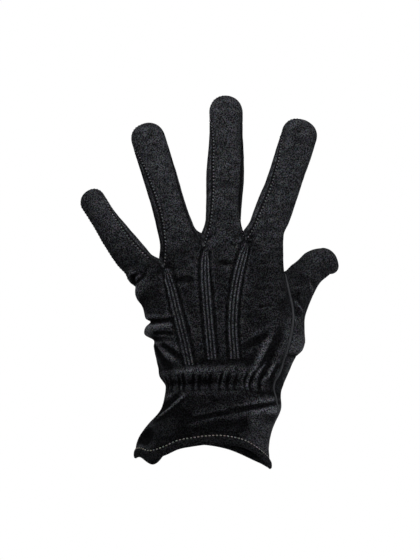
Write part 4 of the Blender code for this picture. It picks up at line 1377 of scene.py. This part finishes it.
upper, lower = points[rows[0]], folded_ring(-1.0)
down = unit(lower - folded_ring(ROW_LEVELS[0]))
out = unit(np.cross(down, np.roll(upper, -1, axis=0) - np.roll(upper, 1, axis=0)))
top = upper + out * (HEM_THICKNESS - WALL) / 2
wave = 1 + HEM_SWELL * np.prod([np.sin(np.arange(SLEEVE_RING) * turn) for turn in HEM_WAVES], axis=0)
hem_outlines = []
for column in range(SLEEVE_RING):
    inwards, fall = -out[column] * HEM_THICKNESS, down[column] * HEM_HEIGHT
    hem_outlines.append([
        top[column] + inwards * (thick if thick > 0 else thick * wave[column]) + fall * drop
        for thick, drop in HEM_OUTLINE
    ])
places, faces = sweep(hem_outlines, closed=True)
weave = sweep_weave(faces, len(HEM_OUTLINE), FACET)
hem_crest = np.full(len(places), HEM_CREST)
hem = add_piece("hem_fold", places, faces, FINISH["black_jersey"], weave, crest=hem_crest)
into_glove(hem, "cotton", "hem")

# %% [markdown]
# ## Stitches
# A stitch is a short bead of thread that dips into the cloth at both ends. One bead is modelled once as a
# small capsule and copied along a line, all in one mesh, because a thousand separate objects would be slow.

# %% One bead of thread, and a row of them
BEAD_RINGS = ((-0.5, 0.35), (-0.32, 0.85), (0.0, 1.0), (0.32, 0.85), (0.5, 0.35))
BEAD_SIDES = 6
BEAD_FACET = 0.2 * MM


def bead_template():
    """A unit capsule along X: its points and its facets."""
    turns = [2 * math.pi * step / BEAD_SIDES for step in range(BEAD_SIDES)]
    rings = [
        [(along, math.cos(turn) * radius / 2, math.sin(turn) * radius / 2) for turn in turns]
        for along, radius in BEAD_RINGS
    ]
    places, faces = sweep(rings, closed=False)
    return np.array(places), faces


BEAD_PLACES, BEAD_FACES = bead_template()


def add_beads(name, beads, size, finish, slot):
    """One mesh of beads. Each has a middle, the way it lies and the way out of the cloth."""
    places = []
    faces = []
    for middle, way, out in beads:
        way = unit(way)
        side = unit(np.cross(out, way))
        frame_of_bead = np.array([way * size[0], side * size[1], np.cross(way, side) * size[2]])
        faces += [tuple(number + len(places) for number in face) for face in BEAD_FACES]
        places.extend(BEAD_PLACES @ frame_of_bead + middle)
    weave = sweep_weave(faces, BEAD_SIDES, BEAD_FACET)
    into_glove(add_piece(name, places, faces, FINISH[finish], weave), slot)


def along_line(line, pitch, closed=False):
    """Even places on a line of points, each as an index with a share of the next step."""
    line = np.array(line)
    ends = np.vstack([line, line[:1]]) if closed else line
    runs = np.concatenate([[0], np.cumsum(np.linalg.norm(np.diff(ends, axis=0), axis=1))])
    places = np.arange(pitch / 2, runs[-1], pitch)
    steps = np.clip(np.searchsorted(runs, places) - 1, 0, len(runs) - 2)
    return steps, (places - runs[steps]) / np.maximum(runs[steps + 1] - runs[steps], 1e-9)


# %% [markdown]
# The hem is closed by one row of pale thread. It is the lightest line on the glove, so it draws the eye to
# the cuff. The beads lie in the dent between the cloth and the hem's band.

# %% The pale row above the hem
HEM_STITCH = 2.15 * MM
HEM_BEAD = (1.30 * MM, 0.88 * MM, 0.70 * MM)
HEM_STITCH_OUT = 0.12
HEM_STITCH_UP = 0.55
line = upper + out * HEM_STITCH_OUT * MM - down * HEM_STITCH_UP * MM
steps, shares = along_line(line, HEM_STITCH, closed=True)
beads = []
for step, share in zip(steps, shares):
    beside = (step + 1) % SLEEVE_RING
    beads.append((line[step] * (1 - share) + line[beside] * share, line[beside] - line[step], out[step]))
add_beads("hem_stitches", beads, HEM_BEAD, "pale_thread", "tuck")


# %% [markdown]
# ## Seam stitches
# Along the fingers the seam shows as a dotted line: grey thread bridges the groove every two millimetres. The
# seams are the rims of the back and the palm, so we walk along those rims and set a slanting bead across.
# On the thumb's side of the long fingers the thread is pulled tight and sinks into the groove. The back's own
# side seams below the fingers have no such thread.

# %% Walk along the seams
def seam_lines(rim, left_out):
    """Chains of point numbers along a rim, without the edges left out."""
    after = {here: there for here, there in rim if (here, there) not in left_out}
    starts = sorted(set(after) - set(after.values()))
    chains = []
    while after:
        here = starts.pop(0) if starts else min(after)
        chain = [here]
        while chain[-1] in after:
            chain.append(after.pop(chain[-1]))
        chains.append(chain)
    return chains


SEAM_STITCH = 2.0 * MM
SEAM_BEAD = (1.25 * MM, 0.95 * MM, 0.70 * MM)
SEAM_SINK = 0.10 * MM
SEAM_INSET = 0.70 * MM
TIGHT_SINK = 0.60 * MM
TIGHT_FROM = -0.040
TIGHT_TURN = 0.30
SEAM_SLANT = 0.5
SLEEVE_POINTS = len(rows[0]) * (len(rows) - 1)
hem_line = set(edges_of(rows[0]))
hem_line |= {(there, here) for here, there in hem_line}
twice = {(there, here) for here, there in RIMS["back_panel"]}
beads = []
for name, left_out in (("back_panel", hem_line), ("palm_panel", hem_line | twice)):
    for chain in seam_lines(RIMS[name], left_out):
        steps, shares = along_line(points[chain], SEAM_STITCH)
        for step, share in zip(steps, shares):
            here, there = chain[step], chain[step + 1]
            if name == "back_panel" and here < SLEEVE_POINTS:
                continue
            along, out = points[there] - points[here], normals[here]
            place = points[here] * (1 - share) + points[there] * share
            inwards = unit(np.cross(out, along))
            sink = TIGHT_SINK if place[0] > TIGHT_FROM and out[0] > TIGHT_TURN else SEAM_SINK
            place = place + inwards * SEAM_INSET - out * sink
            beads.append((place, inwards + SEAM_SLANT * along / FACET, out))
add_beads("seam_stitches", beads, SEAM_BEAD, "grey_thread", "tuck")

# %% [markdown]
# ## The points
# Each point is three tucks: narrow folds of the back, sewn close beside each other. Their outline is three
# round humps. The thread pinches each hump at every stitch, so the humps look like fine cord. They start
# narrow at a fork, soon reach their full width, and fade into the gathers.

# %% Sweep the tucks down the back
TUCK_HEIGHT = 1.15 * MM
TUCK_STITCH = 1.5 * MM
TUCK_ROW = 0.42 * MM
TUCK_SAMPLES = 31
TUCK_SINK = 0.35 * MM
TUCK_STEP = 0.01
TUCK_FACET = 0.25 * MM
TUCK_ROUNDNESS = 0.62
TUCK_PINCH = 0.24
TUCK_SEAT = 0.10
TUCK_FADE = 0.75
POINT_START_WIDTH = 0.55
POINT_WIDENS = 0.12
POINT_RISES = 0.03
POINT_FADES = 0.9
surface = BVHTree.FromPolygons([Vector(place) for place in points], sheet.faces)


def sleeve_place(level, around):
    """The place on the folded sleeve at a level and a share round it."""
    row = int(np.clip(np.searchsorted(ROW_LEVELS, level) - 1, 0, len(ROW_LEVELS) - 2))
    rise = (level - ROW_LEVELS[row]) / (ROW_LEVELS[row + 1] - ROW_LEVELS[row])
    column = int(around * BACK_COLUMNS)
    side = around * BACK_COLUMNS - column
    corners = [points[number] for number in facet_between(rows, row, column)]
    low = corners[0] * (1 - side) + corners[1] * side
    high = corners[3] * (1 - side) + corners[2] * side
    return low * (1 - rise) + high * rise


def tuck_frame(point, level):
    """The middle of a point at a level, the way out and the way across."""
    here = sleeve_place(level, point_around(point, level))
    below, above = level - TUCK_STEP, level + TUCK_STEP
    ahead = sleeve_place(below, point_around(point, below)) - here
    behind = sleeve_place(min(above, 1.0), point_around(point, above)) - here
    _, out, _, _ = surface.find_nearest(Vector(here))
    return here, np.array(out), unit(np.cross(ahead - behind, out))


def tuck_hump(side):
    """The height of three round humps across a point, from -1 to 1."""
    return abs(math.cos(1.5 * math.pi * side)) ** TUCK_ROUNDNESS


def tuck_outline(point, level, run, length):
    """The closed outline across a point: three humps and a seat below the cloth."""
    here, out, across = tuck_frame(point, level)
    share = run / length
    wide = POINT_START_WIDTH + (1 - POINT_START_WIDTH) * float(ease(0, POINT_WIDENS, share))
    width = POINT_WIDTH / 2 * wide
    fade = 1 - TUCK_FADE * float(ease(POINT_FADES, 1.0, share))
    height = TUCK_HEIGHT * float(ease(0, POINT_RISES, share)) * fade
    pinch = 0.5 + 0.5 * math.cos(2 * math.pi * run / TUCK_STITCH)
    top, seat = [], []
    for side in np.linspace(-1, 1, TUCK_SAMPLES):
        found, _, _, _ = surface.find_nearest(Vector(here + across * side * width))
        rise = height * (tuck_hump(side) * (1 - TUCK_PINCH * pinch**2) - TUCK_SEAT)
        top.append(np.array(found) + out * rise)
        seat.append(np.array(found) - out * TUCK_SINK)
    return top + seat[::-1]


def add_point(point):
    """One point: three stitched tucks that run from a fork down to the gathers."""
    length = (point.start - point.end) * HAND_LENGTH
    runs = np.arange(0, length, TUCK_ROW)
    outlines = [tuck_outline(point, point.start - run / HAND_LENGTH, run, length) for run in runs]
    places, faces = sweep(outlines, closed=False)
    weave = sweep_weave(faces, 2 * TUCK_SAMPLES, TUCK_FACET)
    # The humps' tops get painted light, and the dips between and below them painted shade.
    humps = [tuck_hump(side) ** 2 for side in np.linspace(-1, 1, TUCK_SAMPLES)]
    height = np.tile(humps + [0.0] * TUCK_SAMPLES, len(outlines))
    piece = add_piece(f"point_{point.name}_tucks", places, faces, FINISH["black_tuck"], weave, crest=height)
    into_glove(piece, "tuck", f"point_{point.name}")


for point in POINTS:
    add_point(point)

# %% [markdown]
# ## The elastic
# A woven elastic lies inside the back of the wrist. It shows only through the mouth of the cuff, as a band
# with fine ribs across it, so a short sweep under the back panel is enough.

# %% The band inside the wrist
ELASTIC_THICKNESS = 0.8 * MM
ELASTIC_RIB = 0.12 * MM
ELASTIC_GAP = 1.25 * MM
ELASTIC_START = 8
ELASTIC_LEVELS = np.linspace(-0.05, 0.04, 9)
outlines = []
for column in range(ELASTIC_START, BACK_COLUMNS - ELASTIC_START + 1):
    thickness = ELASTIC_THICKNESS + ELASTIC_RIB * (column % 2)
    outer, inner = [], []
    for level in ELASTIC_LEVELS:
        row = int(np.argmin(np.abs(np.array(ROW_LEVELS) - level)))
        number = rows[row][column]
        lift = fold_lift(ROW_LEVELS[row], AROUND)[column] - WALL - ELASTIC_GAP
        outer.append(smooth_points[number] + normals[number] * lift)
        inner.append(outer[-1] - normals[number] * thickness)
    outlines.append(inner + outer[::-1])
places, faces = sweep(outlines, closed=False)
weave = sweep_weave(faces, 2 * len(ELASTIC_LEVELS), FACET)
elastic = add_piece("wrist_elastic_band", places, faces, FINISH["black_elastic"], weave)
into_glove(elastic, "elastic", "wrist_elastic")

# %% [markdown]
# ## The studio
# The glove is held at the wrist, in the air over a plain pale floor. The floor is low enough for the camera,
# which looks up a little at the glove's back. It is wide and flat, with a faint mottle.

# %% Floor
FLOOR_HEIGHT = -0.30
FLOOR_SIZE = 3.0
FLOOR_STEPS = 25
FLOOR_COLOURS = ((0.88, 0.88, 0.88), (0.93, 0.93, 0.93))
steps = np.linspace(-FLOOR_SIZE, FLOOR_SIZE, FLOOR_STEPS)
floor_places = [(x, y, FLOOR_HEIGHT) for y in steps for x in steps]
floor_faces = [
    (k, k + 1, k + 1 + FLOOR_STEPS, k + FLOOR_STEPS)
    for k in range(len(floor_places) - FLOOR_STEPS) if (k + 1) % FLOOR_STEPS
]
pale, tree, shader = new_material("pale_floor")
grain = add_node(tree, "ShaderNodeTexNoise", {"Scale": 6.0, "Detail": 4.0}).outputs["Fac"]
feed(tree, shader, {"Base Color": mixed(tree, grain, *FLOOR_COLOURS), "Roughness": 0.9})
floor = add_piece("floor", floor_places, floor_faces, pale)

# %% [markdown]
# ## Light
# The world is white to the camera but gives the cloth only soft light, so the glove keeps its dark edges.
# A soft panel hangs in front, above the fingertips: it lights the fingers most and the cuff least. Panels at
# both sides show the edges, one behind shows the palm and a broad one above lights the floor.

# %% World and lamps
WORLD_SEEN = 1.0
WORLD_LIGHT = 0.055
world = bpy.data.worlds.new("studio")
bpy.context.scene.world = world
world.use_nodes = True
sky = world.node_tree
seen = add_node(sky, "ShaderNodeLightPath").outputs["Is Camera Ray"]
strength = maths(sky, "MULTIPLY_ADD", seen, WORLD_SEEN - WORLD_LIGHT, WORLD_LIGHT)
feed(sky, sky.nodes["Background"], {"Color": (1.0, 1.0, 1.0, 1.0), "Strength": strength})
bpy.context.scene.view_settings.view_transform = "Standard"
LAMPS = table(
    "name place aim size power",
    ("key", (-0.03, -0.20, 0.28), (0.0, 0.0, 0.09), 0.10, 0.66),
    ("fill", (0.32, -0.32, 0.18), (0.0, 0.0, 0.06), 0.25, 0.22),
    ("right", (0.50, -0.04, -0.02), (0.03, 0.0, 0.02), 0.25, 1.20),
    ("left", (-0.50, -0.04, 0.10), (-0.04, 0.0, 0.04), 0.25, 0.32),
    ("behind", (0.05, 0.70, 0.30), (0.0, 0.0, 0.04), 0.60, 2.0),
    ("above", (0.0, 0.35, 2.40), (0.0, 0.35, -0.30), 1.60, 24.0),
)


def aim(thing, place, target):
    """Puts a lamp or a camera in its place and turns it to its target."""
    thing.location = place
    thing.rotation_euler = (Vector(target) - Vector(place)).to_track_quat("-Z", "Y").to_euler()
    bpy.context.scene.collection.objects.link(thing)


for lamp in LAMPS:
    light = bpy.data.lights.new(lamp.name, "AREA")
    light.shape = "DISK"
    light.size = lamp.size
    light.energy = lamp.power
    aim(bpy.data.objects.new(lamp.name, light), lamp.place, lamp.aim)

# %% [markdown]
# ## Camera
# A long lens at 1.2 m, eight degrees below level, with the glove's middle a little right of the frame's.
# One millimetre of the glove takes up about 1.7 of the picture's pixels.

# %% Place the camera
FRAME_HEIGHT = 560
PIXEL = 0.5945 * MM
SENSOR = 36.0
DISTANCE = 1.2
ELEVATION = math.radians(-8)
TARGET = (-4.8 * MM, 0.0, 63.0 * MM)
lens = bpy.data.cameras.new("camera")
lens.sensor_width = SENSOR
lens.lens = SENSOR * DISTANCE / (FRAME_HEIGHT * PIXEL)
camera = bpy.data.objects.new("camera", lens)
eye = Vector(TARGET) + Vector((0, -math.cos(ELEVATION), math.sin(ELEVATION))) * DISTANCE
aim(camera, eye, TARGET)
bpy.context.scene.camera = camera
print("lens in mm:", round(lens.lens, 1), "and the eye's height:", round(eye.z, 3))
